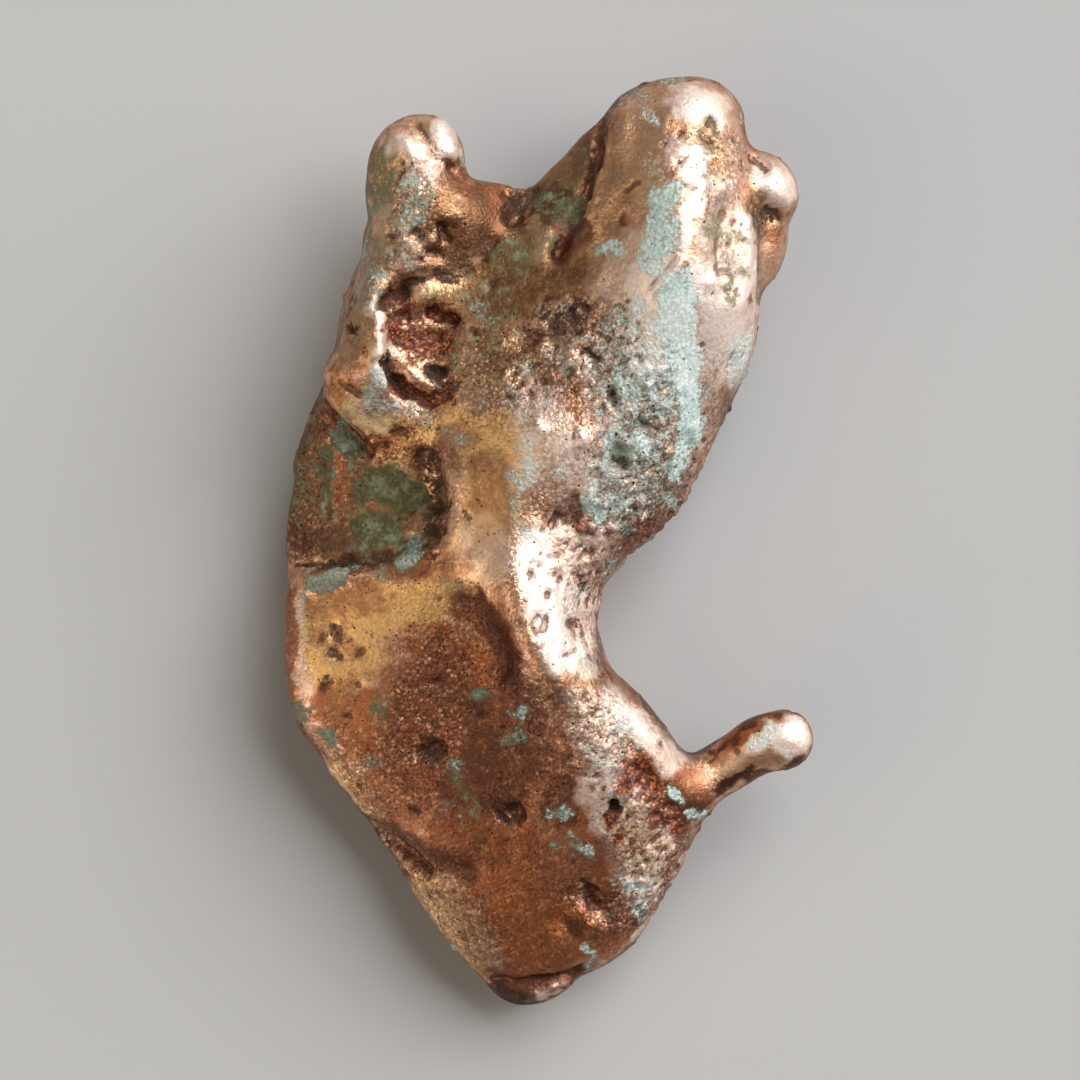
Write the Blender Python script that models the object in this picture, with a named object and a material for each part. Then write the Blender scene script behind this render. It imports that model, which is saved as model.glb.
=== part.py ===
"""A native copper nugget, about 73 mm long, grown and worn as one piece.

The nugget lies on its belly, on a small flat worn into the underside. Seen from above it is a
bent body: a thick head with a knob at the right, a horn at the left, a broad plate that runs down
to a blunt tip, and a thin arm that ends in a club. The body is drawn as an outline, filled, and
lifted into a relief by spot heights. The round parts are joined to it, the form is remeshed into
one skin, and the ridges, ledges, hollows and pits are pressed into that skin.

Lengths in the lists are millimetres. The finished mesh is in metres, +Z up, with its origin in
the middle of the nugget on the plane it rests on.
"""

import math

import bmesh
import bpy
import numpy as np
from mathutils import Matrix, Vector, noise

MM = 0.001
NODE = "copper_nugget"

# ---- the skin -------------------------------------------------------------------------------
SLAB_HALF = 1.2  # half the thickness of the flat slab that the relief is lifted from
SLAB_VOXEL = 0.6
SKIN_VOXEL = 0.42
OUTLINE_STEPS = 8  # spline points between two outline points
SKIN_SMOOTHING = 5
MOST_TRIANGLES = 9600

# ---- lumps that the whole skin has ----------------------------------------------------------
SWELL_SIZE, SWELL_HEIGHT = 9.0, 1.3
LUMP_SIZE, LUMP_HEIGHT = 3.8, 0.55
DENT_SIZE, DENT_DEPTH, DENT_REACH = 5.2, 0.8, 0.42  # the reach is a share of the size
DENTS_LEFT_OUT = 0.45  # share of the cells without a dent
WORN_SHARE = 0.22  # how much of all these is left on the worn sides and upper side

# ---- where it rests -------------------------------------------------------------------------
REST_CUT = 0.35  # how much of the belly is worn away to the flat

# Round the body: x, y, height of the widest line, and radius of the rounded side there.
OUTLINE = [
    (-6.8, 28.8, 10.0, 2.2), (-4.5, 28.5, 9.5, 2.4), (-2.2, 28.1, 9.0, 2.5), (-0.9, 28.6, 9.0, 2.5),
    (1.0, 30.4, 9.5, 2.8), (2.6, 32.1, 10.0, 3.0), (4.2, 33.8, 10.5, 3.2), (6.0, 35.3, 11.0, 3.4),
    (8.5, 36.1, 11.0, 3.0), (11.6, 36.2, 11.5, 2.6), (13.6, 35.3, 11.5, 2.6), (14.8, 33.5, 11.5, 2.6),
    (15.4, 31.0, 11.0, 2.8), (16.3, 26.8, 10.5, 2.6), (16.6, 22.6, 9.5, 2.6), (16.5, 19.2, 9.0, 2.8),
    (16.2, 16.3, 9.0, 3.0), (15.3, 13.2, 8.5, 3.4), (13.9, 10.1, 8.0, 3.8), (12.5, 6.6, 7.5, 4.2),
    (11.0, 3.5, 7.0, 4.5), (8.6, 0.6, 7.0, 4.5), (6.0, -1.4, 7.5, 3.8), (4.5, -3.0, 8.0, 3.2),
    (3.8, -4.7, 8.0, 3.0), (4.1, -7.1, 8.0, 2.6), (4.9, -9.6, 8.5, 2.0), (6.9, -11.5, 9.0, 1.8),
    (8.8, -13.8, 9.5, 1.8), (10.5, -16.2, 9.5, 2.0), (12.3, -18.4, 9.0, 2.2), (12.5, -20.6, 8.0, 2.2),
    (11.1, -23.8, 6.6, 2.6), (9.6, -26.8, 6.0, 2.5), (8.1, -29.7, 5.5, 2.4), (6.7, -31.9, 5.0, 2.4),
    (4.2, -33.7, 5.0, 2.2), (2.0, -34.7, 4.5, 2.0), (0.7, -36.0, 4.0, 2.0), (-1.8, -36.7, 4.0, 2.0),
    (-3.9, -36.1, 4.0, 2.2), (-5.9, -33.9, 4.2, 2.6), (-10.5, -27.6, 5.0, 3.0), (-13.1, -23.9, 5.0, 3.0),
    (-15.2, -20.2, 5.2, 3.0), (-17.8, -17.2, 5.5, 2.8), (-19.8, -14.6, 6.0, 2.6), (-20.4, -11.8, 6.5, 2.4),
    (-20.5, -7.9, 6.8, 2.4), (-20.7, -4.4, 6.8, 2.6), (-20.8, -0.5, 6.5, 3.0), (-20.5, 3.3, 6.5, 3.5),
    (-19.7, 6.7, 7.0, 3.5), (-18.5, 10.1, 7.5, 3.5), (-17.0, 14.0, 8.5, 3.5), (-15.9, 17.6, 9.0, 3.5),
    (-14.8, 21.1, 9.5, 3.2), (-13.9, 24.3, 10.0, 3.0), (-13.6, 27.0, 10.2, 3.0), (-12.8, 29.7, 10.3, 3.0),
    (-9.3, 30.9, 10.3, 3.0),
]

# Heights of the upper side: x, y, z.
UPPER_HEAD = [
    (7.2, 34.0, 15.6), (9.9, 35.2, 16.1), (10.0, 32.2, 17.7), (12.2, 33.8, 16.5), (14.0, 32.8, 16.0),
    (10.9, 29.8, 18.4), (10.4, 27.0, 19.4), (9.8, 23.5, 19.9),
    (9.0, 20.5, 19.7), (7.6, 17.5, 18.9), (6.0, 14.5, 18.1), (8.0, 30.9, 17.3), (5.6, 30.9, 15.8),
    (5.2, 27.0, 16.4), (7.2, 25.4, 18.3), (5.6, 22.3, 17.4), (12.3, 23.2, 19.0), (12.0, 27.0, 18.7),
    (11.9, 16.8, 17.9), (13.9, 20.7, 17.7), (14.4, 27.0, 17.2), (13.2, 30.4, 17.3), (14.8, 16.8, 16.4),
    (4.0, 19.1, 16.6), (2.5, 22.6, 14.9),
]
UPPER_VALLEY = [
    (0.1, 22.3, 14.3), (0.9, 26.2, 12.3), (2.1, 30.1, 11.8), (2.9, 28.5, 12.6), (-1.5, 27.0, 11.3),
    (-3.8, 26.2, 12.0), (-5.4, 22.3, 13.0), (-3.8, 19.1, 14.0), (-2.2, 15.2, 15.2), (-5.4, 16.0, 14.0),
    (-6.6, 24.8, 14.3), (-6.9, 19.1, 13.4),
]
UPPER_HORN = [
    (-10.5, 30.0, 14.2), (-11.6, 27.8, 14.5), (-12.2, 24.6, 14.6), (-13.0, 20.7, 14.9), (-13.6, 16.8, 15.1),
    (-14.0, 13.3, 15.0), (-15.6, 11.6, 13.8), (-9.4, 24.3, 14.8), (-8.6, 27.0, 14.5), (-9.8, 17.5, 13.4),
    (-10.0, 13.0, 13.8), (-12.0, 16.8, 14.4), (-12.4, 13.3, 14.4),
]
UPPER_MIDDLE = [
    (3.6, 10.8, 17.6), (1.4, 7.2, 18.2), (-2.2, 8.2, 17.5), (-3.8, 11.3, 16.2), (-7.7, 9.7, 14.8),
    (-6.2, 6.6, 15.8), (6.6, 10.8, 17.4), (9.2, 11.3, 16.7), (12.2, 11.3, 14.7), (7.2, 5.8, 15.8),
    (10.3, 7.4, 14.3), (4.0, 3.5, 16.2), (-0.7, 3.5, 17.3), (-4.6, 3.5, 16.8), (-7.3, 4.6, 15.4),
    (-7.6, 1.9, 14.8),
]
UPPER_BOWL = [
    (-11.6, 7.2, 12.0), (-12.4, 3.5, 10.2), (-15.6, 5.0, 9.5), (-11.6, 0.4, 11.0), (-17.1, 0.6, 8.5),
    (-18.9, 5.0, 8.0), (-9.9, 3.6, 11.2), (-15.9, 8.4, 10.6),
]
UPPER_CREST = [
    (-19.5, -3.2, 9.7), (-16.4, -2.3, 11.2), (-11.6, -1.5, 13.1), (-8.5, -0.6, 14.7), (-5.4, 0.0, 16.2),
    (-2.7, -0.6, 17.3), (-2.6, -3.6, 17.9), (-1.8, -7.0, 18.1), (-0.8, -9.4, 17.7), (0.8, -12.2, 16.9),
    (2.8, -15.8, 16.0), (5.2, -18.6, 15.0), (0.0, -1.0, 16.5), (0.4, -4.0, 16.8), (1.2, -7.0, 16.8),
    (2.6, -9.6, 16.4), (4.8, -12.2, 15.6), (7.2, -14.6, 14.7), (9.2, -17.0, 14.0), (5.0, -15.2, 15.4),
]
UPPER_PLATE = [
    (-17.1, -6.0, 11.2), (-11.6, -4.4, 12.9), (-7.7, -4.4, 13.9), (-6.2, -2.6, 15.4), (-17.9, -10.7, 10.6),
    (-13.2, -9.1, 11.8), (-8.5, -9.1, 12.6), (-5.4, -10.0, 12.9), (-4.2, -6.6, 14.9), (-2.2, -12.2, 14.6),
    (-11.6, -15.4, 11.3), (-16.4, -15.4, 9.7), (-7.7, -18.5, 12.0), (-2.2, -18.5, 13.0), (0.4, -16.9, 14.5),
    (3.2, -19.8, 14.1), (6.2, -21.0, 13.8), (8.7, -21.6, 12.6), (11.1, -20.3, 12.0), (0.9, -23.2, 12.5),
    (-5.4, -24.8, 10.8), (-8.5, -26.4, 9.5), (-12.0, -21.6, 9.7), (-2.2, -29.5, 10.0), (2.5, -27.9, 11.0),
    (5.6, -27.9, 10.5), (-3.8, -32.8, 8.1), (0.9, -32.8, 8.6),
]
# Heights of the underside: x, y, z.
LOWER = [
    (10.0, 31.0, 5.2), (6.0, 27.0, 5.4), (12.0, 22.0, 3.4), (7.0, 18.0, 2.6), (-3.0, 25.0, 6.4),
    (-10.0, 27.0, 6.8), (-12.0, 20.0, 5.2), (-5.0, 18.0, 4.6), (0.0, 14.0, 2.4), (10.0, 12.0, 2.0),
    (-11.0, 12.0, 3.2), (-4.0, 8.0, 0.5), (3.0, 6.0, 0.5), (-14.0, 4.0, 2.6), (-8.0, 0.0, 0.4),
    (-2.0, 0.0, -0.9), (-16.0, -6.0, 2.8), (-8.0, -9.0, 0.9), (-1.0, -8.0, 0.2), (-14.0, -14.0, 2.2),
    (-6.0, -16.0, 1.6), (2.0, -17.0, 3.2), (8.0, -18.0, 5.0), (7.0, -24.0, 3.2), (-8.0, -23.0, 1.2),
    (0.0, -26.0, 1.6), (-2.0, -32.0, 1.4), (3.0, -31.0, 2.2),
]

# Round parts that stand out of the body: centre, radii, and turn about Z in degrees.
LUMPS = [
    ((-10.3, 29.3, 10.4), (3.9, 4.3, 3.9), -25.0),
    ((-11.7, 27.4, 10.0), (2.6, 3.6, 3.6), 0.0),
    ((16.8, 27.4, 10.8), (2.6, 3.3, 4.2), 25.0),
    ((16.0, 23.3, 9.4), (2.9, 4.0, 3.8), -20.0),
]
# The arm, from its root in the plate to the club at its end: centre and radius.
ARM = [
    ((10.4, -19.4, 9.6), 2.8), ((12.4, -18.3, 9.5), 1.85), ((14.4, -17.2, 9.4), 1.95),
    ((16.5, -15.6, 9.6), 2.25), ((18.3, -15.3, 9.8), 2.4),
]

# Strokes pressed into the upper side: height (minus is inwards), reach, and the line from above.
HEAD_STROKES = [
    (0.3, 1.2, [(-11.9, 31.6), (-10.9, 30.0)]),
    (-0.3, 1.1, [(-9.9, 32.6), (-9.4, 31.0), (-8.9, 29.6)]),
    (0.4, 0.9, [(-8.4, 32.4), (-7.5, 30.0)]),
    (-0.35, 0.9, [(-7.6, 29.3), (-7.2, 28.4)]),
    (-1.1, 1.3, [(4.3, 33.6), (3.8, 31.0), (3.4, 28.6), (2.7, 26.3), (1.5, 24.1), (0.6, 22.3)]),
    (0.7, 1.5, [(5.6, 33.0), (5.2, 29.5), (4.6, 27.3), (3.4, 25.0), (2.2, 23.0)]),
    (-1.3, 1.3, [(-1.4, 28.0), (-2.0, 26.9), (-2.5, 25.4)]),
    (-0.35, 0.9, [(-10.8, 20.1), (-8.8, 20.6), (-7.4, 20.9), (-5.3, 22.3), (-4.5, 23.6)]),
    (0.2, 1.6, [(-6.4, 26.4), (-5.4, 25.4)]),
    (-0.7, 2.0, [(13.5, 25.2), (13.3, 22.6), (13.6, 20.4)]),
    (0.25, 1.0, [(15.2, 25.4), (15.5, 22.5), (15.4, 19.8), (14.4, 18.0)]),
    (-0.4, 0.9, [(12.6, 32.0), (11.9, 31.2)]),
    (-0.4, 0.9, [(15.9, 29.6), (16.6, 28.6)]),
    (-0.8, 1.0, [(17.0, 25.5), (17.6, 25.4)]),
]
PIT_STROKES = [
    (-1.1, 1.2, [(-12.2, 18.8), (-11.0, 19.6)]),
    (-0.9, 1.0, [(-12.0, 18.0), (-10.9, 17.4)]),
    (-0.9, 2.4, [(-11.0, 15.8), (-8.8, 16.2)]),
    (-0.8, 0.9, [(-9.0, 17.9), (-7.3, 17.3)]),
    (-1.0, 1.1, [(-12.3, 13.8), (-11.9, 12.6), (-11.0, 11.7), (-9.5, 11.0), (-8.2, 11.6), (-7.7, 12.6)]),
    (-0.9, 1.0, [(-9.2, 13.5), (-8.7, 13.1)]),
    (0.3, 1.0, [(-10.9, 13.3), (-10.1, 12.6)]),
    (0.5, 1.3, [(-13.5, 19.7), (-13.7, 17.5), (-13.6, 15.4), (-13.4, 13.6), (-12.9, 12.2)]),
    (-0.6, 0.8, [(-10.2, 23.8), (-9.7, 23.6)]),
    (-0.9, 0.9, [(-8.0, 24.5), (-7.9, 23.0)]),
    (-0.7, 0.8, [(-9.0, 22.2), (-8.5, 22.1)]),
    (-0.6, 0.8, [(-15.4, 16.9), (-14.9, 16.6)]),
]
BOWL_STROKES = [
    (0.5, 1.2, [(-16.7, 14.0), (-16.8, 12.3), (-16.0, 10.6), (-14.8, 9.3), (-13.5, 8.2)]),
    (-0.3, 0.8, [(-15.9, 12.3), (-14.6, 11.3)]),
    (-0.8, 1.2, [(-17.2, 10.0), (-15.6, 8.4), (-14.2, 7.2)]),
    (-0.6, 1.4, [(-9.6, 6.5), (-9.7, 4.0), (-9.5, 1.8), (-9.3, 0.2)]),
    (-0.4, 1.0, [(-8.9, 3.3), (-8.7, 2.7)]),
    (0.5, 1.4, [(-7.7, 7.6), (-7.1, 5.5), (-6.8, 3.0), (-7.0, 0.8)]),
    (-0.6, 0.9, [(-18.3, -1.5), (-15.5, -1.0), (-12.5, -0.5), (-10.5, 0.4)]),
    (0.6, 1.1, [(-19.6, -3.4), (-16.5, -2.7), (-13.0, -2.2), (-10.0, -1.5), (-8.0, -0.6)]),
]
CREST_STROKES = [
    (0.4, 1.6, [(-3.0, -1.6), (-2.4, -5.0), (-1.2, -8.2), (0.8, -10.8)]),
    (-0.4, 1.7, [(-6.3, -4.3), (-4.8, -6.8), (-4.0, -9.6)]),
    (-0.35, 1.2, [(-0.6, -5.8), (-0.5, -6.2)]),
    (-0.4, 0.9, [(1.8, -6.0), (2.5, -7.2)]),
    (-0.5, 1.2, [(0.2, 1.6), (2.2, 2.6)]),
    (0.3, 1.2, [(-0.8, 8.9), (-0.6, 8.7)]),
    (0.35, 1.3, [(2.6, 8.4), (2.6, 7.8)]),
    (-0.45, 1.5, [(2.3, 17.9), (1.2, 16.8), (-0.4, 16.3), (-1.9, 15.8)]),
    (-0.4, 0.9, [(2.6, 14.7), (3.8, 14.1)]),
    (-0.4, 0.8, [(5.0, 11.9), (4.9, 10.8)]),
    (-0.5, 1.0, [(7.3, 9.4), (7.7, 8.6)]),
    (-0.5, 1.3, [(5.0, 7.2), (5.8, 6.0)]),
]
PLATE_STROKES = [
    (0.6, 1.0, [(-19.9, -4.6), (-20.0, -8.0), (-19.6, -11.6)]),
    (-0.3, 0.9, [(-17.0, -6.2), (-16.6, -6.7)]),
    (-0.3, 0.9, [(-16.5, -7.9), (-16.2, -8.5)]),
    (-0.5, 1.1, [(-9.9, -16.1), (-8.6, -15.9)]),
    (-0.7, 1.1, [(-3.4, -20.8), (-2.4, -20.9)]),
    (-0.8, 0.8, [(4.9, -20.1), (5.1, -20.4)]),
    (-0.4, 2.0, [(6.8, -17.8), (7.8, -18.8)]),
    (-0.8, 1.4, [(-14.3, -22.3), (-12.3, -23.3), (-9.7, -25.0), (-6.3, -25.8)]),
    (0.4, 0.9, [(-17.0, -17.9), (-14.6, -20.6), (-12.8, -23.4)]),
    (0.4, 0.9, [(-10.4, -26.9), (-8.0, -30.2), (-5.6, -33.4)]),
    (-0.5, 0.9, [(-4.8, -33.9), (-2.5, -34.6), (0.5, -34.4), (3.6, -33.2)]),
    (0.3, 0.8, [(-1.4, -35.7), (0.4, -35.2), (1.4, -34.8)]),
    (-0.6, 1.5, [(3.2, -27.4), (4.2, -28.4)]),
    (0.5, 0.8, [(2.0, -28.4), (3.0, -29.1), (3.9, -30.2)]),
    (0.4, 0.8, [(0.8, -30.0), (1.6, -31.5)]),
]
# Strokes pressed into the sides: height, reach, and the line in space.
SIDE_STROKES = [
    (0.6, 2.2, [(15.6, 24.0, 5.2), (15.0, 16.0, 4.6), (12.0, 8.0, 4.0)]),
    (-1.1, 2.2, [(15.4, 21.0, 3.6), (14.2, 13.0, 3.0), (10.5, 5.0, 2.6)]),
    (-1.0, 2.6, [(7.0, 36.0, 7.5), (9.5, 36.4, 6.5)]),
    (0.6, 2.2, [(12.5, 36.2, 8.5), (14.5, 34.0, 8.0)]),
    (-1.1, 1.9, [(-16.0, 18.0, 6.5), (-18.0, 10.0, 5.0), (-19.8, 2.0, 4.4)]),
    (0.6, 1.5, [(-15.4, 21.0, 9.0), (-17.4, 13.5, 7.6), (-19.6, 6.5, 6.4)]),
    (-0.8, 1.4, [(-20.6, -5.0, 5.0), (-20.0, -12.0, 4.4), (-17.6, -17.0, 3.8)]),
    (-0.8, 1.6, [(-15.0, -20.5, 3.6), (-11.0, -26.5, 3.2), (-8.0, -31.0, 3.0)]),
    (-0.8, 1.5, [(11.6, -22.5, 5.4), (8.8, -28.0, 4.0), (6.0, -32.5, 3.6)]),
    (0.4, 1.6, [(9.8, -25.0, 5.6), (8.6, -27.0, 5.0)]),
    (-0.9, 2.0, [(8.5, 0.4, 5.0), (4.0, -4.6, 5.2), (5.4, -10.0, 6.2)]),
    (0.5, 1.4, [(5.8, -1.4, 8.2), (3.9, -4.8, 8.8)]),
    (-0.6, 1.0, [(13.2, -18.6, 7.8), (18.2, -16.8, 8.0)]),
    (-0.6, 1.6, [(-13.8, 30.0, 9.5), (-14.6, 26.5, 8.5)]),
]
# Strokes pressed into the underside.
LOWER_STROKES = [
    (-1.6, 3.4, [(-6.0, 20.0), (-2.0, 17.0), (3.0, 18.0)]),
    (0.9, 2.2, [(-13.0, 24.0), (-10.0, 17.0), (-6.0, 11.5)]),
    (-1.3, 2.6, [(-17.5, 2.0), (-15.0, 8.0)]),
    (0.8, 2.4, [(12.5, 27.0), (10.0, 19.0), (6.0, 12.0)]),
    (-1.2, 2.6, [(13.5, 12.0), (9.5, 4.0), (5.0, -3.0)]),
    (-1.0, 1.6, [(8.0, 30.0), (10.0, 27.0)]),
    (0.8, 2.6, [(9.0, -19.0), (2.0, -13.0)]),
    (-1.0, 2.4, [(5.0, -24.0), (1.0, -20.0), (-4.0, -19.5)]),
    (0.7, 2.0, [(-15.0, -10.0), (-9.5, -19.0), (-5.0, -28.0)]),
    (-0.9, 1.4, [(-12.0, -6.0), (-9.0, -5.0)]),
    (-0.9, 1.8, [(-1.0, -30.0), (2.0, -33.0)]),
    (-1.0, 1.3, [(-10.0, 7.0), (-8.6, 5.6)]),
]


def clear_scene():
    for leftover in list(bpy.data.objects):
        bpy.data.objects.remove(leftover)


def link(name, mesh):
    made = bpy.data.objects.new(name, mesh)
    bpy.context.scene.collection.objects.link(made)
    return made


def baked(thing, name):
    """A mesh of the object as its modifiers leave it; the object itself is removed."""
    graph = bpy.context.evaluated_depsgraph_get()
    mesh = bpy.data.meshes.new_from_object(thing.evaluated_get(graph), depsgraph=graph)
    bpy.data.objects.remove(thing)
    mesh.name = name
    return mesh


def remeshed(mesh, voxel):
    thing = link("remesh", mesh)
    remesh = thing.modifiers.new("skin", "REMESH")
    remesh.mode = "VOXEL"
    remesh.voxel_size = voxel
    return baked(thing, mesh.name)


def smoothed(mesh, rounds):
    thing = link("smooth", mesh)
    smooth = thing.modifiers.new("smooth", "SMOOTH")
    smooth.factor, smooth.iterations = 0.5, rounds
    return baked(thing, mesh.name)


def points_of(mesh):
    flat = np.empty(len(mesh.vertices) * 3, np.float32)
    mesh.vertices.foreach_get("co", flat)
    return flat.reshape(-1, 3).astype(float)


def normals_of(mesh):
    flat = np.empty(len(mesh.vertices) * 3, np.float32)
    mesh.vertex_normals.foreach_get("vector", flat)
    return flat.reshape(-1, 3).astype(float)


def set_points(mesh, points):
    mesh.vertices.foreach_set("co", points.astype(np.float32).ravel())
    mesh.update()


def closed_spline(knots, steps):
    """A closed Catmull-Rom curve through the knots, with this many points to each span."""
    knots = np.array(knots, float)
    before, after, beyond = np.roll(knots, 1, 0), np.roll(knots, -1, 0), np.roll(knots, -2, 0)
    spans = []
    for t in np.arange(steps) / steps:
        spans.append(0.5 * (
            2 * knots
            + (after - before) * t
            + (2 * before - 5 * knots + 4 * after - beyond) * t ** 2
            + (3 * knots - before - 3 * after + beyond) * t ** 3
        ))
    return np.stack(spans, 1).reshape(-1, knots.shape[1])


def slab(rim):
    """The outline as a filled 2D curve, extruded into a flat slab and remeshed evenly."""
    curve = bpy.data.curves.new("outline", "CURVE")
    curve.dimensions, curve.fill_mode, curve.extrude = "2D", "BOTH", SLAB_HALF
    spline = curve.splines.new("POLY")
    spline.points.add(len(rim) - 1)
    for point, (x, y, *_) in zip(spline.points, rim):
        point.co = (x, y, 0, 1)
    spline.use_cyclic_u = True
    return remeshed(baked(link("outline", curve), "body"), SLAB_VOXEL)


def thin_plate(spots):
    """A smooth height z(x, y) that passes through every spot."""
    spots = np.array(spots, float)
    place, height = spots[:, :2], spots[:, 2]

    def kernel(a, b):
        square = ((a[:, None] - b[None]) ** 2).sum(2)
        return 0.5 * square * np.log(np.maximum(square, 1e-12))

    flat = np.column_stack([np.ones(len(place)), place])
    system = np.block([[kernel(place, place), flat], [flat.T, np.zeros((3, 3))]])
    weights = np.linalg.solve(system, np.concatenate([height, np.zeros(3)]))

    def heights(xy):
        return kernel(xy, place) @ weights[:-3] + np.column_stack([np.ones(len(xy)), xy]) @ weights[-3:]

    return heights


def lift(mesh, rim):
    """Lifts the slab into the relief. Its sides turn over in a quarter round of the rim's radius."""
    points = points_of(mesh)
    xy = points[:, :2]
    gap = np.sqrt(((xy[:, None] - rim[None, :, :2]) ** 2).sum(2))
    nearest = gap.argmin(1)
    depth = gap[np.arange(len(xy)), nearest]
    weight = 1 / (gap + 0.05) ** 4
    weight /= weight.sum(1, keepdims=True)
    middle, radius = weight @ rim[:, 2], weight @ rim[:, 3]
    turn = np.minimum(depth / radius, 1) * math.pi / 2
    inward = (xy - rim[nearest, :2]) / np.maximum(depth, 1e-6)[:, None]
    moved = np.where(
        (depth < radius)[:, None],
        rim[nearest, :2] + inward * (radius * (1 - np.cos(turn)))[:, None],
        xy,
    )
    upper = thin_plate(UPPER_HEAD + UPPER_VALLEY + UPPER_HORN + UPPER_MIDDLE + UPPER_BOWL
                       + UPPER_CREST + UPPER_PLATE)(moved)
    lower = thin_plate(LOWER)(moved)
    share = np.clip(points[:, 2] / SLAB_HALF, -1, 1)
    reach = np.where(share > 0, np.maximum(upper - middle, 0.5), np.maximum(middle - lower, 0.5))
    set_points(mesh, np.column_stack([moved, middle + np.sin(turn) * share * reach]))


def ball(bm, centre, radii, turn=0.0):
    place = Matrix.Translation(centre) @ Matrix.Rotation(math.radians(turn), 4, "Z")
    bmesh.ops.create_icosphere(bm, subdivisions=4, radius=1, matrix=place @ Matrix.Diagonal((*radii, 1)))


def limb(bm, stations, steps=8):
    """A tapering limb: balls close together along straight runs between the stations."""
    for (start, first), (end, last) in zip(stations, stations[1:]):
        for share in np.linspace(0, 1, steps, endpoint=False):
            centre = Vector(start).lerp(end, share)
            ball(bm, centre, [first + (last - first) * share] * 3)
    ball(bm, stations[-1][0], [stations[-1][1]] * 3)


def with_round_parts(mesh):
    """The body with its horn, knobs and arm, joined into one skin."""
    bm = bmesh.new()
    bm.from_mesh(mesh)
    for centre, radii, turn in LUMPS:
        ball(bm, centre, radii, turn)
    limb(bm, ARM)
    bm.to_mesh(mesh)
    bm.free()
    return remeshed(mesh, SKIN_VOXEL)


def distance_to(line, places):
    """How far each place is from a line of straight runs."""
    line = np.array(line, float)
    start, run = line[:-1], np.diff(line, axis=0)
    along = ((places[:, None] - start) * run).sum(2) / (run ** 2).sum(1)
    foot = start + np.clip(along, 0, 1)[..., None] * run
    return np.sqrt(((places[:, None] - foot) ** 2).sum(2)).min(1)


def press(mesh, strokes, side=None):
    """Pushes the skin in or out along each stroke.

    A line in space presses all round it. A line seen from above needs the side of the nugget that
    it lies on: 1 for the skin that faces up, -1 for the skin that faces down.
    """
    for height, reach, line in strokes:
        points, normals = points_of(mesh), normals_of(mesh)
        gap = distance_to(line, points[:, :len(line[0])])
        share = np.clip(1 - (gap / reach) ** 2, 0, 1) ** 2
        if side:
            share *= np.clip(0.5 + 2.5 * normals[:, 2] * side, 0, 1)
        set_points(mesh, points + normals * (height * share)[:, None])


def dent(place):
    """A round dent in some of the cells of a Voronoi pattern, as a depth from 0 to 1."""
    gaps, centres = noise.voronoi(place / DENT_SIZE)
    if noise.cell(centres[0] * 31) < DENTS_LEFT_OUT:
        return 0.0
    return max(0.0, 1 - (gaps[0] / DENT_REACH) ** 2) ** 2


def roughen(mesh):
    """Swells, lumps and dents, full on the underside and weaker where the skin is worn."""
    points, normals = points_of(mesh), normals_of(mesh)
    places = [Vector(point) for point in points]
    swell = np.array([noise.noise(place / SWELL_SIZE) for place in places])
    lump = np.array([noise.noise(place / LUMP_SIZE) for place in places])
    dents = np.array([dent(place) for place in places])
    worn = np.clip(1 + normals[:, 2] / 0.5, 0, 1)
    height = SWELL_HEIGHT * swell + LUMP_HEIGHT * lump - DENT_DEPTH * dents
    set_points(mesh, points + normals * (height * (1 + (WORN_SHARE - 1) * worn))[:, None])


def material():
    made = bpy.data.materials.new("native_copper")
    made.use_nodes = True
    shader = made.node_tree.nodes["Principled BSDF"]
    shader.inputs["Base Color"].default_value = (0.55, 0.27, 0.14, 1)
    shader.inputs["Metallic"].default_value = 1.0
    shader.inputs["Roughness"].default_value = 0.32
    return made


def thinned(mesh, most):
    """The mesh with the faces that say least collapsed."""
    triangles = sum(len(face.vertices) - 2 for face in mesh.polygons)
    thing = link("thin", mesh)
    thin = thing.modifiers.new("fewer faces", "DECIMATE")
    thin.ratio = min(1, most / triangles)
    return baked(thing, mesh.name)


def rest_cutter():
    """A block whose top is the plane that the nugget rests on."""
    bm = bmesh.new()
    bmesh.ops.create_cube(bm, size=0.2, matrix=Matrix.Translation((0, 0, -0.1)))
    mesh = bpy.data.meshes.new("rest_cutter")
    bm.to_mesh(mesh)
    bm.free()
    cutter = link("rest_cutter", mesh)
    cutter.hide_render, cutter.display_type = True, "WIRE"
    return cutter


def main():
    clear_scene()
    rim = closed_spline(OUTLINE, OUTLINE_STEPS)
    mesh = slab(rim)
    lift(mesh, rim)
    mesh = smoothed(with_round_parts(mesh), SKIN_SMOOTHING)
    roughen(mesh)
    for strokes in (HEAD_STROKES, PIT_STROKES, BOWL_STROKES, CREST_STROKES, PLATE_STROKES):
        press(mesh, strokes, 1)
    press(mesh, SIDE_STROKES)
    press(mesh, LOWER_STROKES, -1)
    mesh = thinned(remeshed(mesh, SKIN_VOXEL), MOST_TRIANGLES)
    mesh.transform(Matrix.Scale(MM, 4) @ Matrix.Translation((0, 0, -REST_CUT)))
    mesh.name = NODE
    mesh.materials.append(material())
    nugget = link(NODE, mesh)
    cut = nugget.modifiers.new("worn flat", "BOOLEAN")
    cut.operation, cut.object = "DIFFERENCE", rest_cutter()
    mesh.shade_smooth()


main()
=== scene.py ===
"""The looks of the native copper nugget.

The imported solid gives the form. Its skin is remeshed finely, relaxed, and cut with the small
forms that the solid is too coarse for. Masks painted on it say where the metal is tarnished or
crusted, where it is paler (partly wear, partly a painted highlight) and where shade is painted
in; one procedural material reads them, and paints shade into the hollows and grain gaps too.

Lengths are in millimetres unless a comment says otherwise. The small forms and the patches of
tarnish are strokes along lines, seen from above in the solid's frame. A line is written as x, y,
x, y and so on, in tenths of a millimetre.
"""
import math
from types import SimpleNamespace

import bpy
import numpy as np
from mathutils import Matrix, Vector, kdtree, noise


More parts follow.
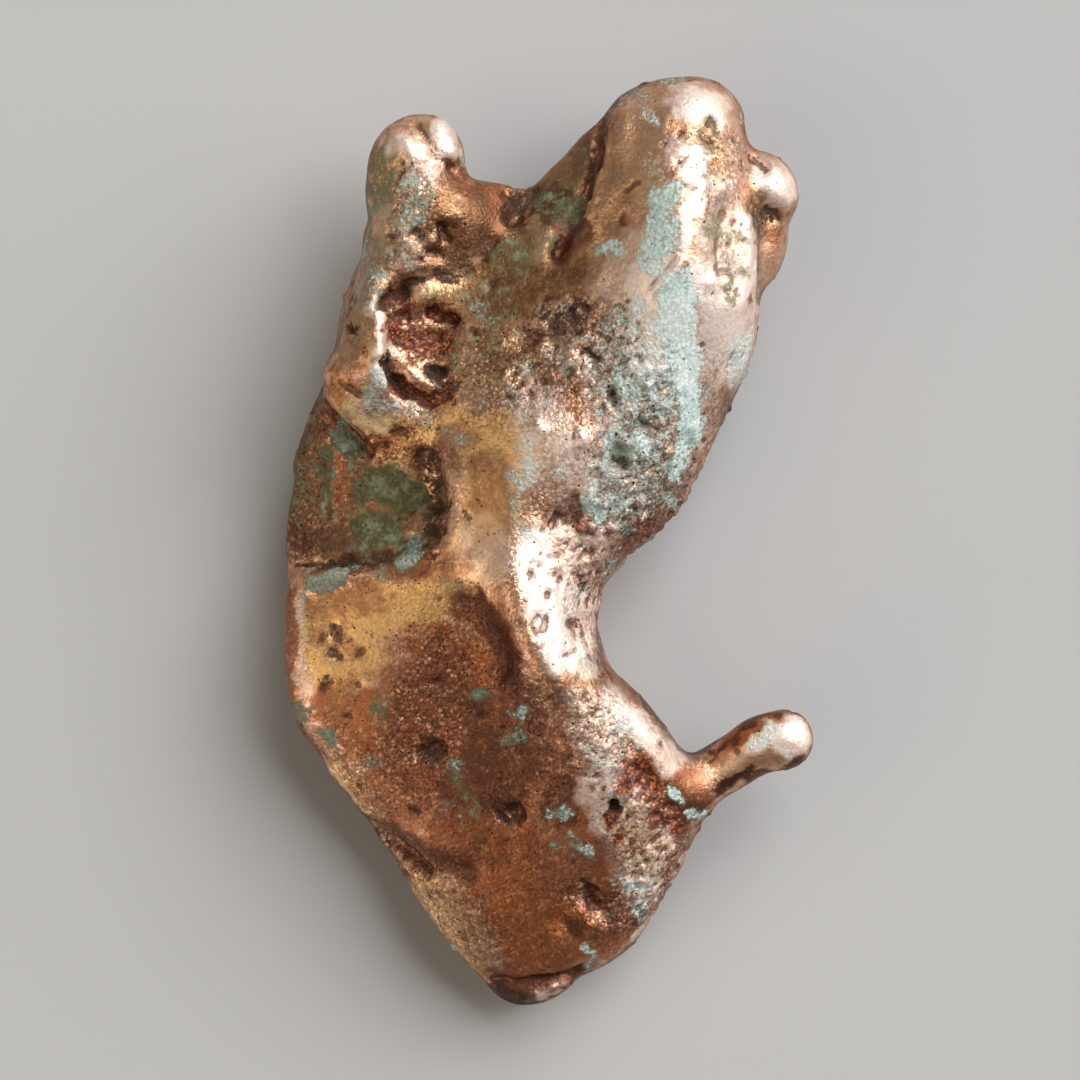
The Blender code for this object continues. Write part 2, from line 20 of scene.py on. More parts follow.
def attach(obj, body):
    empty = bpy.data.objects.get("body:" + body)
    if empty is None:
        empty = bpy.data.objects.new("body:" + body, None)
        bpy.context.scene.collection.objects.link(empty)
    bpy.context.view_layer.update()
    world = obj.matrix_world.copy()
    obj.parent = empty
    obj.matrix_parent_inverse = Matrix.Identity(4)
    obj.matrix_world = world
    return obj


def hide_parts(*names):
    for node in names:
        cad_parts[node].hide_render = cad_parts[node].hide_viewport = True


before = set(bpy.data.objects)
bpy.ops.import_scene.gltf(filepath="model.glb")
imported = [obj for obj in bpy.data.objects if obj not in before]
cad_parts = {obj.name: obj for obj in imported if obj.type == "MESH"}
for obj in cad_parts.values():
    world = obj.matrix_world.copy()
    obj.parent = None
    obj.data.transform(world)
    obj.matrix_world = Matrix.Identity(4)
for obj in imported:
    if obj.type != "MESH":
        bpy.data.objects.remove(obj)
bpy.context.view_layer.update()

NODE = "copper_nugget"
PIECE = "nugget_skin"
FINISH = "native_copper"
MM = 0.001

# ---- the skin
SKIN_VOXEL = 0.295
RELAX_ROUNDS = 26
RELAX_IN, RELAX_OUT = 0.5, -0.52  # Taubin smoothing: a step in, then a step out
NOISE_STEPS = (17.3, 5.1, 9.7)  # how far each seed moves the noise
TENTHS = 10  # of a millimetre, in lines
# Noise that makes strokes ragged: its sizes and reaches, and its seed.
CUT_WARP, CUT_SEED = ((1.7, 0.3), (0.6, 0.2)), 1
PAINT_WARP, PAINT_SEED = ((2.2, 0.8), (0.8, 0.5)), 5
# How much of a stroke the skin takes: the share on an upright wall, and more as it faces up.
CUT_UP, PAINT_UP = (0.5, 2.5), (0.9, 2.0)
CUT_POWER = 1.5  # how a cut's profile runs out
PAINT_END, PAINT_FADE = 1.35, 0.7  # in reaches: where paint ends, and how wide its edge is
CAVITY_ROUNDS, CAVITY_DEPTH = 10, 0.12  # the blur that finds hollows, and the depth that counts as full
UNWRAP_ANGLE, UNWRAP_GAP = math.radians(66), 0.004

# ---- camera and light
FRAME_PIXELS = 1080
PIXELS_PER_MM = 12.75
MIDDLE_PIXEL = (548.5, 544.0)  # where the middle of the nugget is in the frame
FOCUS_HEIGHT = 8.0  # above the floor, where the pixel scale holds
LENS, SENSOR = 127.5, 36.0
CLIP_START = 0.01  # metres
# Soft lamps: name, direction, distance and side in metres, radiance, colour.
LAMPS = [
    ("key_lamp", (0.5, 0.54, 0.66), 2.0, 1.7, 5.5, (0.95, 0.97, 1.0)),
    ("wide_lamp", (0.64, 0.52, 0.56), 2.5, 3.2, 1.2, (0.97, 0.98, 1.0)),
    ("warm_lamp", (-0.62, -0.25, 0.62), 2.0, 1.7, 1.0, (1.0, 0.82, 0.58)),
    ("side_lamp", (0.93, 0.16, 0.32), 2.0, 1.5, 1.45, (1.0, 0.98, 0.96)),
    ("edge_lamp", (-0.86, -0.48, 0.2), 2.0, 0.7, 4.0, (1.0, 0.92, 0.8)),
]
SKY = (0.17, 0.165, 0.16, 1)
FLOOR_COLOUR = (0.42, 0.415, 0.405, 1)
FLOOR_ROUGHNESS = 0.9
FLOOR_SIDE = 8.0  # metres

# ---- small forms: height (minus is inwards), reach, lines
HEAD_CUTS = [
    (0.18, 0.7, [-122, 319, -106, 303]), (-0.12, 0.7, [-101, 322, -95, 309, -89, 296]),
    (-0.3, 0.4, [-79, 294, -75, 291]), (-0.4, 0.6, [42, 331, 38, 310, 35, 286, 28, 262, 16, 240, 7, 224]),
    (0.22, 0.4, [42, 286, 37, 268, 30, 250, 21, 236]), (-0.45, 0.7, [-15, 277, -21, 268, -26, 252]),
    (-0.4, 0.5, [-34, 273, -24, 266]), (-0.25, 0.35, [-109, 201, -100, 202]),
    (-0.3, 0.4, [-88, 206, -76, 207]), (-0.2, 0.3, [-70, 210, -63, 212]),
    (-0.2, 0.35, [-52, 220, -46, 227, -43, 234]), (0.18, 0.6, [152, 246, 155, 225, 154, 200]),
    (0.15, 0.5, [121, 246, 120, 220, 124, 200]), (-0.35, 0.45, [124, 322, 128, 318]),
    (-0.25, 0.4, [119, 312, 124, 308]), (0.3, 0.9, [125, 196, 131, 200]), (-0.3, 1.5, [100, 317, 134, 310]),
    (-0.35, 0.4, [158, 297, 167, 287]), (-0.35, 0.6, [168, 255, 175, 253]),
    (0.32, 0.5, [102, 213, 90, 203, 80, 194]), (-0.15, 0.5, [58, 249, 56, 244], [58, 268, 66, 273]),
    (-0.2, 0.5, [104, 270, 108, 268]), (-0.3, 0.35, [144, 193, 146, 189]),
]
PIT_CUTS = [
    (-0.5, 0.7, [-126, 184, -120, 190, -112, 194]), (-0.4, 0.6, [-120, 177, -110, 173]),
    (-0.35, 1.4, [-110, 182, -102, 176]), (-0.4, 0.8, [-116, 160, -104, 158, -86, 162]),
    (-0.35, 1, [-104, 148, -84, 148]), (-0.6, 0.5, [-91, 180, -84, 176, -73, 173]),
    (-0.45, 0.55, [-125, 138, -121, 129, -113, 121, -102, 114, -90, 109, -78, 119]),
    (-0.5, 0.7, [-92, 134, -84, 131]), (0.15, 0.8, [-110, 134, -100, 127]),
    (0.25, 0.6, [-130, 178, -129, 162, -129, 146]), (-0.35, 0.45, [-102, 238, -97, 235]),
    (-0.5, 0.5, [-83, 246, -78, 234]), (-0.4, 0.4, [-90, 222, -84, 221]),
    (-0.35, 0.4, [-123, 238, -120, 236]), (-0.4, 0.45, [-153, 168, -149, 165]),
    (-0.3, 0.4, [-45, 201, -44, 197]),
]
BOWL_CUTS = [
    (0.32, 0.4, [-168, 136, -170, 122, -164, 108, -154, 96, -143, 85, -135, 79]),
    (-0.28, 0.35, [-160, 123, -152, 118, -146, 114]),
    (-0.2, 0.35, [-173, 110, -166, 100, -157, 89, -146, 79, -139, 71]), (-0.4, 0.4, [-120, 86, -110, 86]),
    (-0.25, 0.5, [-102, 70, -90, 70, -85, 62]), (-0.5, 0.6, [-88, 54, -87, 46]),
    (-0.3, 0.7, [-89, 33, -83, 28]), (-0.4, 0.6, [-92, 12, -84, 8]), (-0.3, 0.4, [-89, -9, -85, -7]),
    (-0.35, 0.4, [-196, -16, -170, -16, -142, -12, -124, -8, -106, 2]), (-0.5, 0.4, [-170, -15, -156, -9]),
    (0.2, 0.5, [-186, -29, -162, -24, -138, -19, -112, -14]), (-0.25, 0.5, [-120, 20, -106, 28]),
    (-0.2, 0.5, [-178, 66, -179, 46, -172, 22]),
]
CREST_CUTS = [
    (-0.3, 0.35, [-9, -53, -12, -61, -8, -68, -2, -64, -2, -56]), (-0.3, 0.4, [17, -60, 24, -66, 30, -76]),
    (0.2, 0.4, [22, -72, 27, -79]), (-0.25, 0.3, [12, -85, 17, -83]), (-0.3, 0.3, [23, -26, 27, -36]),
    (-0.3, 0.35, [0, 13, 5, 19]), (0.25, 0.6, [23, 84, 27, 79]), (-0.3, 0.35, [19, 83, 22, 82]),
    (0.25, 0.5, [-11, 91, -6, 87]), (0.2, 0.6, [-57, -11, -53, -15]), (-0.2, 0.4, [-64, 22, -61, 19]),
    (-0.2, 0.8, [2, 174, 14, 174, 24, 180]), (-0.2, 0.6, [-18, 162, 4, 164, 22, 164]),
    (-0.4, 0.4, [26, 147, 36, 142], [49, 116, 50, 106]), (-0.3, 0.5, [69, 93, 78, 90]),
    (-0.35, 0.5, [50, 76, 52, 66, 59, 59]), (-0.3, 0.4, [-17, 116, -14, 114]),
]
PLATE_CUTS = [
    (0.2, 0.36, [-129, -254, -112, -282], [-117, -256, -100, -286, -93, -306]),
    (0.18, 0.36, [-106, -262, -88, -294, -77, -320], [-94, -264, -76, -296, -64, -324]),
    (0.16, 0.36, [-82, -268, -64, -300, -52, -326]),
    (-0.15, 0.3, [-112, -266, -94, -298], [-88, -272, -69, -310]),
    (-0.2, 0.45, [-169, -66, -163, -67, -164, -74, -169, -72]), (-0.25, 0.5, [-169, -84, -163, -86]),
    (-0.25, 0.3, [-178, -76, -177, -72], [-147, -86, -144, -85]), (-0.25, 0.35, [-175, -114, -169, -107]),
    (-0.4, 0.32, [-100, -164, -96, -161]), (-0.45, 0.36, [-93, -160, -87, -157]),
    (-0.35, 0.3, [-84, -160, -80, -156]), (-0.45, 0.32, [-38, -209, -32, -213]),
    (-0.45, 0.36, [-31, -206, -24, -205]), (-0.4, 0.32, [-26, -212, -19, -210]),
    (-0.6, 0.35, [48, -200, 52, -203]),
    (-0.3, 0.3, [-158, -136, -155, -136], [-92, -134, -89, -138], [-109, -207, -104, -209]),
    (-0.4, 0.5, [-132, -229, -110, -242, -92, -256]),
    (-0.35, 0.35, [-44, -344, -20, -345, 4, -342, 26, -334]), (0.25, 0.45, [-14, -356, 4, -351, 10, -349]),
    (0.4, 0.45, [11, -347, 14, -345]), (0.3, 0.35, [22, -284, 28, -292, 36, -298]),
    (0.25, 0.35, [9, -300, 14, -312]), (-0.5, 0.6, [30, -270, 38, -282]), (-0.3, 0.4, [26, -260, 40, -272]),
    (-0.25, 0.7, [66, -172, 76, -178, 80, -188], [-37, -70, -33, -96]),
]
CUTS = HEAD_CUTS + PIT_CUTS + BOWL_CUTS + CREST_CUTS + PLATE_CUTS

# ---- painted masks: strength, reach, lines
PAINT = {}
PAINT["verdigris"] = [
    (0.6, 0.6, [92, 359, 98, 359], [53, -6, 44, -24]), (0.5, 0.9, [58, 348, 76, 343], [-73, 85, -66, 83]),
    (0.7, 0.6, [77, 330, 82, 318], [-17, 10, -11, 5], [34, -319, 32, -330]),
    (0.3, 1.8, [-140, 292, -132, 266]), (0.4, 1.1, [112, 290, 120, 274]),
    (0.45, 0.9, [74, 288, 83, 284], [14, -50, 24, -38]), (0.48, 1.1, [-109, 280, -98, 254]),
    (0.8, 0.8, [93, 268, 95, 226]), (0.95, 1.2, [84, 264, 82, 240, 86, 222, 80, 214]),
    (0.55, 0.6, [-109, 263, -106, 261], [9, 52, 12, 51], [184, -160, 188, -165]),
    (0.6, 0.7, [-132, 258, -128, 254], [-18, 134, -15, 133]), (0.5, 0.6, [162, 252, 165, 248]),
    (0.65, 0.8, [-112, 249, -106, 247], [-133, 210, -129, 206]), (0.36, 1.8, [-136, 236, -120, 220]),
    (0.45, 1.2, [-138, 226, -136, 194], [-46, 108, -30, 112], [30, -162, 46, -169]),
    (0.95, 0.8, [47, 225, 50, 223]), (0.85, 0.7, [108, 203, 109, 186], [-166, 90, -154, 78]),
    (1.25, 1.4, [95, 189, 95, 166, 101, 148, 105, 128]), (0.55, 0.9, [-54, 179, -46, 176]),
    (0.6, 1.3, [48, 172, 66, 178]), (0.5, 1.3, [56, 156, 46, 136]), (0.45, 2, [46, 156, 14, 144]),
    (0.6, 1.1, [148, 154, 149, 136]), (0.56, 3.8, [66, 140, 64, 50]),
    (0.7, 0.7, [-136, 128, -132, 125], [64, -263, 72, -269]), (0.72, 2.2, [58, 124, 82, 112, 104, 122]),
    (0.6, 0.5, [-142, 118, -126, 102], [4, -235, 6, -237]), (1.05, 1.2, [109, 114, 105, 86]),
    (0.46, 0.9, [-128, 106, -98, 99]), (0.38, 1.4, [-9, 100, -8, 60]), (0.85, 0.9, [100, 78, 98, 54]),
    (0.8, 1.1, [49, 78, 49, 70]), (0.85, 1.1, [66, 77, 72, 74]), (0.58, 1.1, [-20, 72, -12, 54]),
    (0.6, 1, [50, 55, 64, 52]), (0.6, 0.8, [-28, 52, -22, 48], [58, 20, 62, 14], [-76, -172, -68, -172]),
    (0.55, 0.8, [32, 45, 44, 42]), (0.5, 1, [-28, 40, -23, 14]), (0.7, 1.1, [52, 36, 62, 26]),
    (0.8, 0.6, [93, 33, 95, 31]), (0.97, 1, [33, 31, 38, 28]),
    (0.8, 0.9, [-112, -12, -104, 4], [-188, -31, -174, -29, -162, -24]),
    (0.7, 0.45, [-158, -16, -146, -15]), (0.45, 0.8, [-138, -26, -130, -26]),
    (0.36, 0.8, [-77, -26, -72, -29]), (0.6, 0.4, [-190, -42, -189, -56]),
    (0.35, 1, [-200, -58, -199, -86]), (0.5, 0.5, [30, -88, 31, -93]), (0.58, 0.6, [-53, -115, -51, -114]),
    (0.48, 0.6, [-135, -127, -134, -129]), (0.85, 0.6, [-26, -129, -22, -126]),
    (0.75, 0.8, [-195, -132, -191, -134]), (0.52, 1.1, [56, -142, 69, -157]),
    (0.72, 0.8, [-174, -147, -171, -151]), (0.62, 0.8, [-30, -148, -25, -147]),
    (0.65, 0.9, [162, -154, 172, -146]), (0.5, 0.7, [-146, -172, -138, -172], [-85, -201, -79, -201]),
    (0.9, 0.6, [98, -190, 102, -194], [114, -208, 118, -211]), (0.72, 0.5, [8, -208, 15, -202]),
    (0.45, 0.7, [-62, -211, -56, -211]), (0.75, 0.45, [14, -223, 16, -225]),
    (0.75, 0.5, [24, -231, 28, -236]), (0.3, 1.4, [70, -246, 86, -262]), (0.5, 0.8, [54, -258, 59, -263]),
    (0.72, 0.6, [70, -284, 72, -289]),
]
PAINT["olive"] = [
    (0.6, 0.9, [126, 316, 119, 306]), (0.68, 1.3, [-132, 302, -131, 268]),
    (0.55, 1.2, [12, 282, 28, 300], [-144, -7, -106, -9]),
    (0.6, 1.2, [-106, 274, -96, 266], [128, 244, 136, 220]), (0.75, 1.3, [-2, 265, 18, 262]),
    (0.6, 1, [2, 254, 14, 248]), (0.4, 2, [-124, 246, -110, 216]), (0.6, 0.7, [142, 236, 138, 186]),
    (0.66, 1.5, [-36, 224, -20, 217, -10, 226]), (0.48, 2.6, [-56, 210, -38, 172, -64, 138]),
    (0.4, 1.1, [-100, 196, -86, 189]), (0.92, 0.8, [-166, 87, -154, 77, -147, 68]),
    (0.8, 0.7, [-173, 76, -173, 56], [-136, -127, -133, -130]), (0.45, 1.2, [-184, 76, -189, 22]),
    (0.62, 0.8, [-197, 74, -199, 36]), (0.85, 0.8, [54, 74, 60, 64]), (0.55, 1, [-154, 56, -150, 16]),
    (0.97, 1.6, [-138, 46, -118, 44, -109, 36], [-142, 12, -128, 12]), (0.7, 1, [-177, 40, -173, 22]),
    (0.62, 0.6, [-92, 32, -90, 8]), (0.5, 1.1, [-136, -9, -114, -4]), (0.7, 0.9, [-112, -12, -104, 4]),
    (0.75, 1, [-188, -31, -162, -25]), (0.7, 0.7, [-54, -115, -50, -114], [-175, -147, -170, -151]),
    (0.75, 0.8, [-195, -132, -191, -134]),
    (0.6, 0.8, [-30, -148, -25, -147], [-76, -172, -56, -212], [6, -236, 16, -224]),
    (0.55, 0.5, [-12, -215, -6, -213]), (0.45, 1.4, [32, -276, 40, -290]),
    (0.5, 0.5, [-31, -324, -29, -328]),
]
PAINT["umber"] = [
    (0.42, 2.6, [56, 324, 64, 276]), (0.75, 1.2, [129, 286, 126, 220]),
    (0.95, 4.6, [-96, 260, -60, 204, -6, 214, 16, 276]), (0.7, 1.6, [156, 230, 166, 256]),
    (0.62, 2.6, [46, 224, 40, 196]), (0.85, 3.6, [-66, 166, -30, 128, -10, 176]),
    (0.9, 2.6, [-146, 160, -140, 220, -126, 280]), (0.4, 1.4, [-154, 144, -146, 130]),
    (0.75, 2, [6, 128, 34, 116]), (0.7, 1.9, [130, 102, 134, 120]),
    (0.85, 2.6, [-190, 86, -188, 30, -174, 6, -130, -4]), (0.7, 2.4, [-136, 76, -104, 14]),
    (0.6, 3, [-44, 20, -52, 86, 6, 96]), (0.7, 1.5, [8, -104, 38, -110]),
    (0.6, 1.6, [-154, -126, -124, -128]), (0.45, 1.4, [106, -182, 126, -184]),
    (0.7, 2, [-86, -286, -54, -324]),
]
# Gold: yellow tone; on polished faces that lean left it is partly a painted warm reflection.
PAINT["gold"] = [
    (0.45, 1, [96, 318, 130, 310]), (0.45, 2.2, [50, 315, 68, 296, 68, 276]),
    (0.55, 1.8, [14, 302, 36, 326]), (0.9, 0.5, [39, 284, 34, 262, 24, 242, 16, 228]),
    (0.5, 1.6, [-92, 258, -70, 242]), (0.45, 1.6, [-106, 254, -84, 252]), (0.4, 1.5, [136, 194, 132, 308]),
    (0.45, 1.8, [-98, 184, -70, 194]), (1.3, 1, [-159, 117, -144, 102, -128, 91]),
    (0.75, 1.6, [-90, 95, -74, 94]), (0.8, 1.5, [-34, 88, -32, 74]), (0.95, 1.3, [-104, 84, -88, 84]),
    (0.97, 1.4, [-54, 82, -54, 42]), (1.2, 1.1, [-129, 78, -108, 82, -97, 66]),
    (0.8, 0.8, [-97, 60, -99, 46]), (0.7, 1.7, [-48, 32, -46, 16]), (0.85, 0.9, [-188, 16, -185, 56]),
    (0.5, 2, [-66, 4, -48, -24]), (0.55, 1.6, [-120, -28, -70, -26]),
    (1, 2.2, [-170, -59, -138, -56, -104, -44, -86, -34]),
    (1, 2, [-170, -86, -146, -86], [-80, -266, -80, -286, -60, -308]), (0.8, 1.2, [-176, -104, -154, -102]),
    (0.5, 1.8, [-168, -124, -152, -156]), (0.85, 1.1, [132, -167, 146, -152, 166, -138]),
    (0.7, 0.9, [-166, -179, -134, -214]), (0.55, 1.4, [-176, -180, -144, -206]),
    (0.7, 1.2, [-124, -208, -142, -196]), (0.7, 1.8, [64, -216, 84, -246]),
    (0.55, 0.9, [-112, -269, -74, -316]), (1.1, 1.8, [-94, -272, -58, -324]),
]
PAINT["brown"] = [
    (0.5, 1.6, [42, 326, 46, 290, 48, 246]), (0.55, 0.8, [98, 312, 132, 312], [-156, -68, -150, -82]),
    (0.66, 1, [128, 290, 126, 220]), (0.75, 1.8, [-98, 282, -84, 262, -64, 260]),
    (0.75, 2, [4, 276, 26, 306, 34, 326]), (1.1, 1.9, [6, 260, 15, 240, 12, 200]),
    (0.7, 1, [123, 260, 134, 250]), (1, 2.6, [-48, 258, -46, 198, -16, 192]),
    (0.5, 3, [-40, 252, -14, 214, 16, 198]), (0.8, 1.2, [160, 250, 172, 240]),
    (0.8, 1.4, [-32, 246, -22, 234], [-199, 6, -192, 70]), (0.8, 1.8, [-74, 236, -94, 222, -112, 216]),
    (0.55, 2.4, [-106, 228, -74, 228, -54, 244]),
    (0.6, 1.4, [-142, 226, -140, 188], [-146, 176, -156, 128], [-78, 70, -66, 86]),
    (0.6, 1, [-146, 190, -144, 156], [-96, 38, -90, 6], [80, -204, 98, -208]),
    (0.7, 1.6, [-52, 176, -40, 146]), (0.6, 1.8, [-54, 176, -46, 156]), (0.45, 2.6, [-64, 154, -26, 156]),
    (0.6, 1.2, [-154, 154, -150, 130], [28, -14, 34, -44]), (0.68, 2.2, [44, 136, 68, 80, 54, 56]),
    (0.88, 1.9, [6, 122, 36, 106]), (0.45, 1.4, [-80, 72, -72, 84]), (0.8, 2.6, [-164, 60, -126, 24]),
    (0.95, 1.2, [-160, 60, -154, 14]), (0.66, 1.8, [-48, 56, -42, 8]), (0.65, 1.6, [20, 32, 34, 16]),
    (0.7, 2.4, [-192, 10, -188, 64, -176, 114]), (0.75, 2.2, [60, 6, 88, 22, 116, 56]),
    (0.75, 1.4, [-166, 2, -132, -4], [-174, -124, -156, -144]), (0.42, 1.2, [-50, -10, -42, -22]),
    (0.95, 1.4, [-150, -14, -114, -12, -100, -13], [-62, -47, -46, -58, -36, -74, -34, -104, -30, -134]),
    (0.55, 1.4, [-86, -14, -68, -16]), (0.8, 0.8, [-204, -40, -205, -120]),
    (0.6, 1.7, [-174, -46, -138, -42]), (0.55, 1, [-178, -70, -156, -84]),
    (0.65, 1.3, [10, -106, 36, -110]), (0.92, 5.6, [-76, -116, -56, -166, -50, -220, -26, -280, -6, -316]),
    (0.75, 3.6, [-130, -134, -116, -180, -96, -224]), (0.6, 2.2, [-2, -136, 2, -166]),
    (0.95, 1.6, [66, -159, 84, -176]), (0.45, 1.2, [104, -182, 120, -182]),
    (1, 1.6, [98, -188, 114, -200, 94, -212]), (0.75, 1, [126, -188, 118, -182]),
    (0.8, 3, [10, -196, 26, -244, 36, -296]), (0.7, 1.2, [74, -212, 80, -220]),
]
PAINT["rust"] = [
    (0.55, 1.2, [8, 286, 18, 276]), (0.75, 1.2, [-66, 280, -38, 276]), (0.55, 1, [-74, 240, -66, 226]),
    (0.28, 1.8, [24, 126, -34, 132]), (0.6, 0.8, [70, 94, 80, 90], [-26, -116, -12, -138]),
    (0.62, 1, [-126, 78, -108, 80, -94, 68]), (0.7, 0.7, [-144, 76, -126, 80]),
    (0.6, 0.7, [-162, 68, -160, 44, -156, 26]), (0.7, 0.6, [-138, 56, -135, 52], [-136, 30, -132, 24]),
    (0.55, 1.6, [82, 54, 86, 18]), (0.8, 0.6, [-119, 21, -106, 28]), (0.55, 0.7, [-158, 16, -154, 2]),
    (0.65, 1.2, [-106, -70, -80, -74]), (0.6, 1.4, [-154, -116, -146, -162], [-104, -180, -96, -190]),
    (0.7, 1.6, [-58, -134, -54, -92]), (1.05, 0.8, [132, -165, 144, -151, 160, -140, 174, -134]),
    (1.2, 1.2, [64, -172, 78, -188]), (0.7, 1.2, [96, -196, 86, -216]), (0.8, 0.8, [94, -210, 88, -216]),
    (0.7, 1, [16, -213, 28, -218]), (0.7, 0.9, [74, -214, 79, -220]),
    (0.75, 2.6, [-40, -226, -24, -270, -14, -316]), (0.75, 0.8, [70, -228, 62, -246]),
    (0.85, 1.1, [44, -252, 44, -272]), (0.85, 1.6, [4, -284, 26, -316], [64, -292, 40, -314]),
]
PAINT["cuprite"] = [
    (0.55, 0.5, [-29, 253, -24, 251], [-14, -131, -9, -140]), (0.75, 0.8, [-127, 187, -114, 194]),
    (0.8, 0.8, [-88, 178, -78, 176]), (0.7, 1, [-118, 172, -104, 184]),
    (0.8, 0.7, [-122, 163, -110, 156, -98, 148]), (0.8, 1.1, [-98, 157, -82, 155]),
    (0.5, 0.5, [-144, 152, -142, 144]), (0.6, 1, [-76, 136, -72, 154]),
    (0.9, 0.6, [-120, 129, -108, 117, -93, 110, -80, 116, -76, 123]),
    (0.5, 0.6, [50, 114, 51, 106], [-92, 14, -86, 8]), (0.45, 0.8, [-138, 78, -134, 70], [22, 26, 28, 18]),
    (0.45, 1.2, [74, 16, 88, 24]), (0.55, 0.6, [-30, -118, -22, -116]),
    (0.72, 1.1, [66, -171, 78, -176, 81, -192]), (0.8, 0.5, [59, -184, 60, -188]),
    (0.85, 0.4, [50, -202, 49, -212]), (0.55, 1.2, [84, -204, 98, -214]),
    (0.75, 0.45, [55, -227, 57, -229], [70, -236, 70, -240]), (0.7, 0.4, [90, -254, 90, -257]),
]
PAINT["dark"] = [
    # The lines from x 4.2 down to 2.7 mm, along the crease left of the head, are painted shadow.
    (0.6, 0.4, [42, 328, 40, 310], [-34, 272, -26, 268]), (0.6, 0.45, [38, 304, 34, 284, 27, 263]),
    (0.45, 0.4, [158, 297, 166, 287]), (0.85, 0.55, [-16, 275, -21, 268, -26, 252]),
    (0.6, 0.5, [169, 254, 174, 253], [-100, -250, -94, -260]),
    (0.6, 0.6, [-83, 245, -78, 234], [-130, -231, -110, -240]),
    (0.75, 0.4, [18, 244, 7, 226], [49, 116, 50, 106], [-102, 72, -96, 68]),
    (0.7, 0.45, [-102, 238, -97, 235]),
    (0.7, 0.35, [-123, 238, -120, 236], [-114, 121, -102, 113, -90, 108], [-53, 37, -50, 35],
     [-93, -134, -89, -138], [7, -260, 16, -259]),
    (0.8, 0.35, [-43, 234, -50, 222], [19, 83, 22, 82], [0, 13, 5, 19], [22, -27, 27, -35],
     [-109, -207, -104, -209]),
    (0.7, 0.4, [-90, 222, -84, 220], [-92, 180, -88, 179], [-88, 95, -83, 92], [-116, 87, -110, 86],
     [-84, 54, -84, 46]),
    (0.8, 0.3, [-72, 209, -63, 211], [69, 66, 71, 65], [-178, -76, -177, -73], [-158, -136, -155, -136]),
    (0.95, 0.45, [-88, 206, -76, 206]), (0.95, 0.35, [-110, 201, -96, 202]),
    (0.72, 0.7, [-116, 195, -111, 193]), (0.72, 0.6, [-129, 185, -122, 190]),
    (0.7, 0.6, [-117, 174, -110, 173]),
    (0.8, 0.45, [-76, 173, -72, 172], [-153, 168, -149, 165], [26, 147, 36, 142], [-169, -66, -163, -68]),
    (0.85, 0.9, [2, 173, 14, 173, 22, 179]), (0.75, 0.7, [-19, 162, 4, 164, 24, 164]),
    (0.22, 4, [30, 140, 70, 100, 60, 40]), (1, 0.6, [-125, 138, -120, 129]),
    (1, 0.85, [-92, 134, -85, 131]),
    (0.6, 0.35, [72, 89, 80, 87], [-59, 46, -56, 45], [-125, -63, -121, -68]),
    (0.42, 0.9, [-122, 82, -104, 80]), (0.3, 1.6, [-114, 74, -94, 66]), (0.85, 0.5, [-88, 72, -83, 60]),
    (0.8, 0.5, [52, 66, 58, 59], [20, 26, 24, 22], [-169, -83, -163, -86]), (0.8, 0.85, [-90, 48, -89, 14]),
    (0.9, 0.7, [-88, 32, -82, 28]), (0.9, 0.3, [-89, -9, -85, -7]),
    (0.55, 0.35, [-156, -9, -124, -9, -108, 0]), (0.95, 0.4, [-169, -15, -157, -11]),
    (0.6, 0.3, [-71, -42, -68, -46], [-95, -51, -91, -49], [-113, -53, -108, -46]),
    (0.34, 1, [-140, -44, -96, -38]), (0.65, 0.35, [-83, -48, -76, -56]), (0.65, 0.4, [18, -62, 23, -65]),
    (0.4, 1.6, [-170, -76, -146, -70]), (0.7, 0.3, [-147, -86, -144, -85]),
    (0.45, 1.2, [-146, -96, -120, -80, -84, -54]), (0.24, 1.2, [-170, -110, -146, -110]),
    (0.75, 0.35, [-175, -114, -169, -107]), (0.24, 3, [-90, -130, -30, -160]),
    (1, 0.36, [-93, -160, -87, -157], [-38, -209, -32, -213]), (0.85, 0.3, [-84, -160, -80, -156]),
    (0.95, 0.34, [-100, -164, -96, -161]), (0.9, 0.35, [48, -200, 52, -202]),
    (1, 0.38, [-31, -206, -24, -205]), (0.9, 0.34, [-26, -212, -19, -210]),
    # The last stroke, on the tip's ledge, is a painted dark reflection.
    (0.5, 0.5, [32, -276, 38, -286]), (0.95, 0.8, [-38, -354, -18, -362]),
]
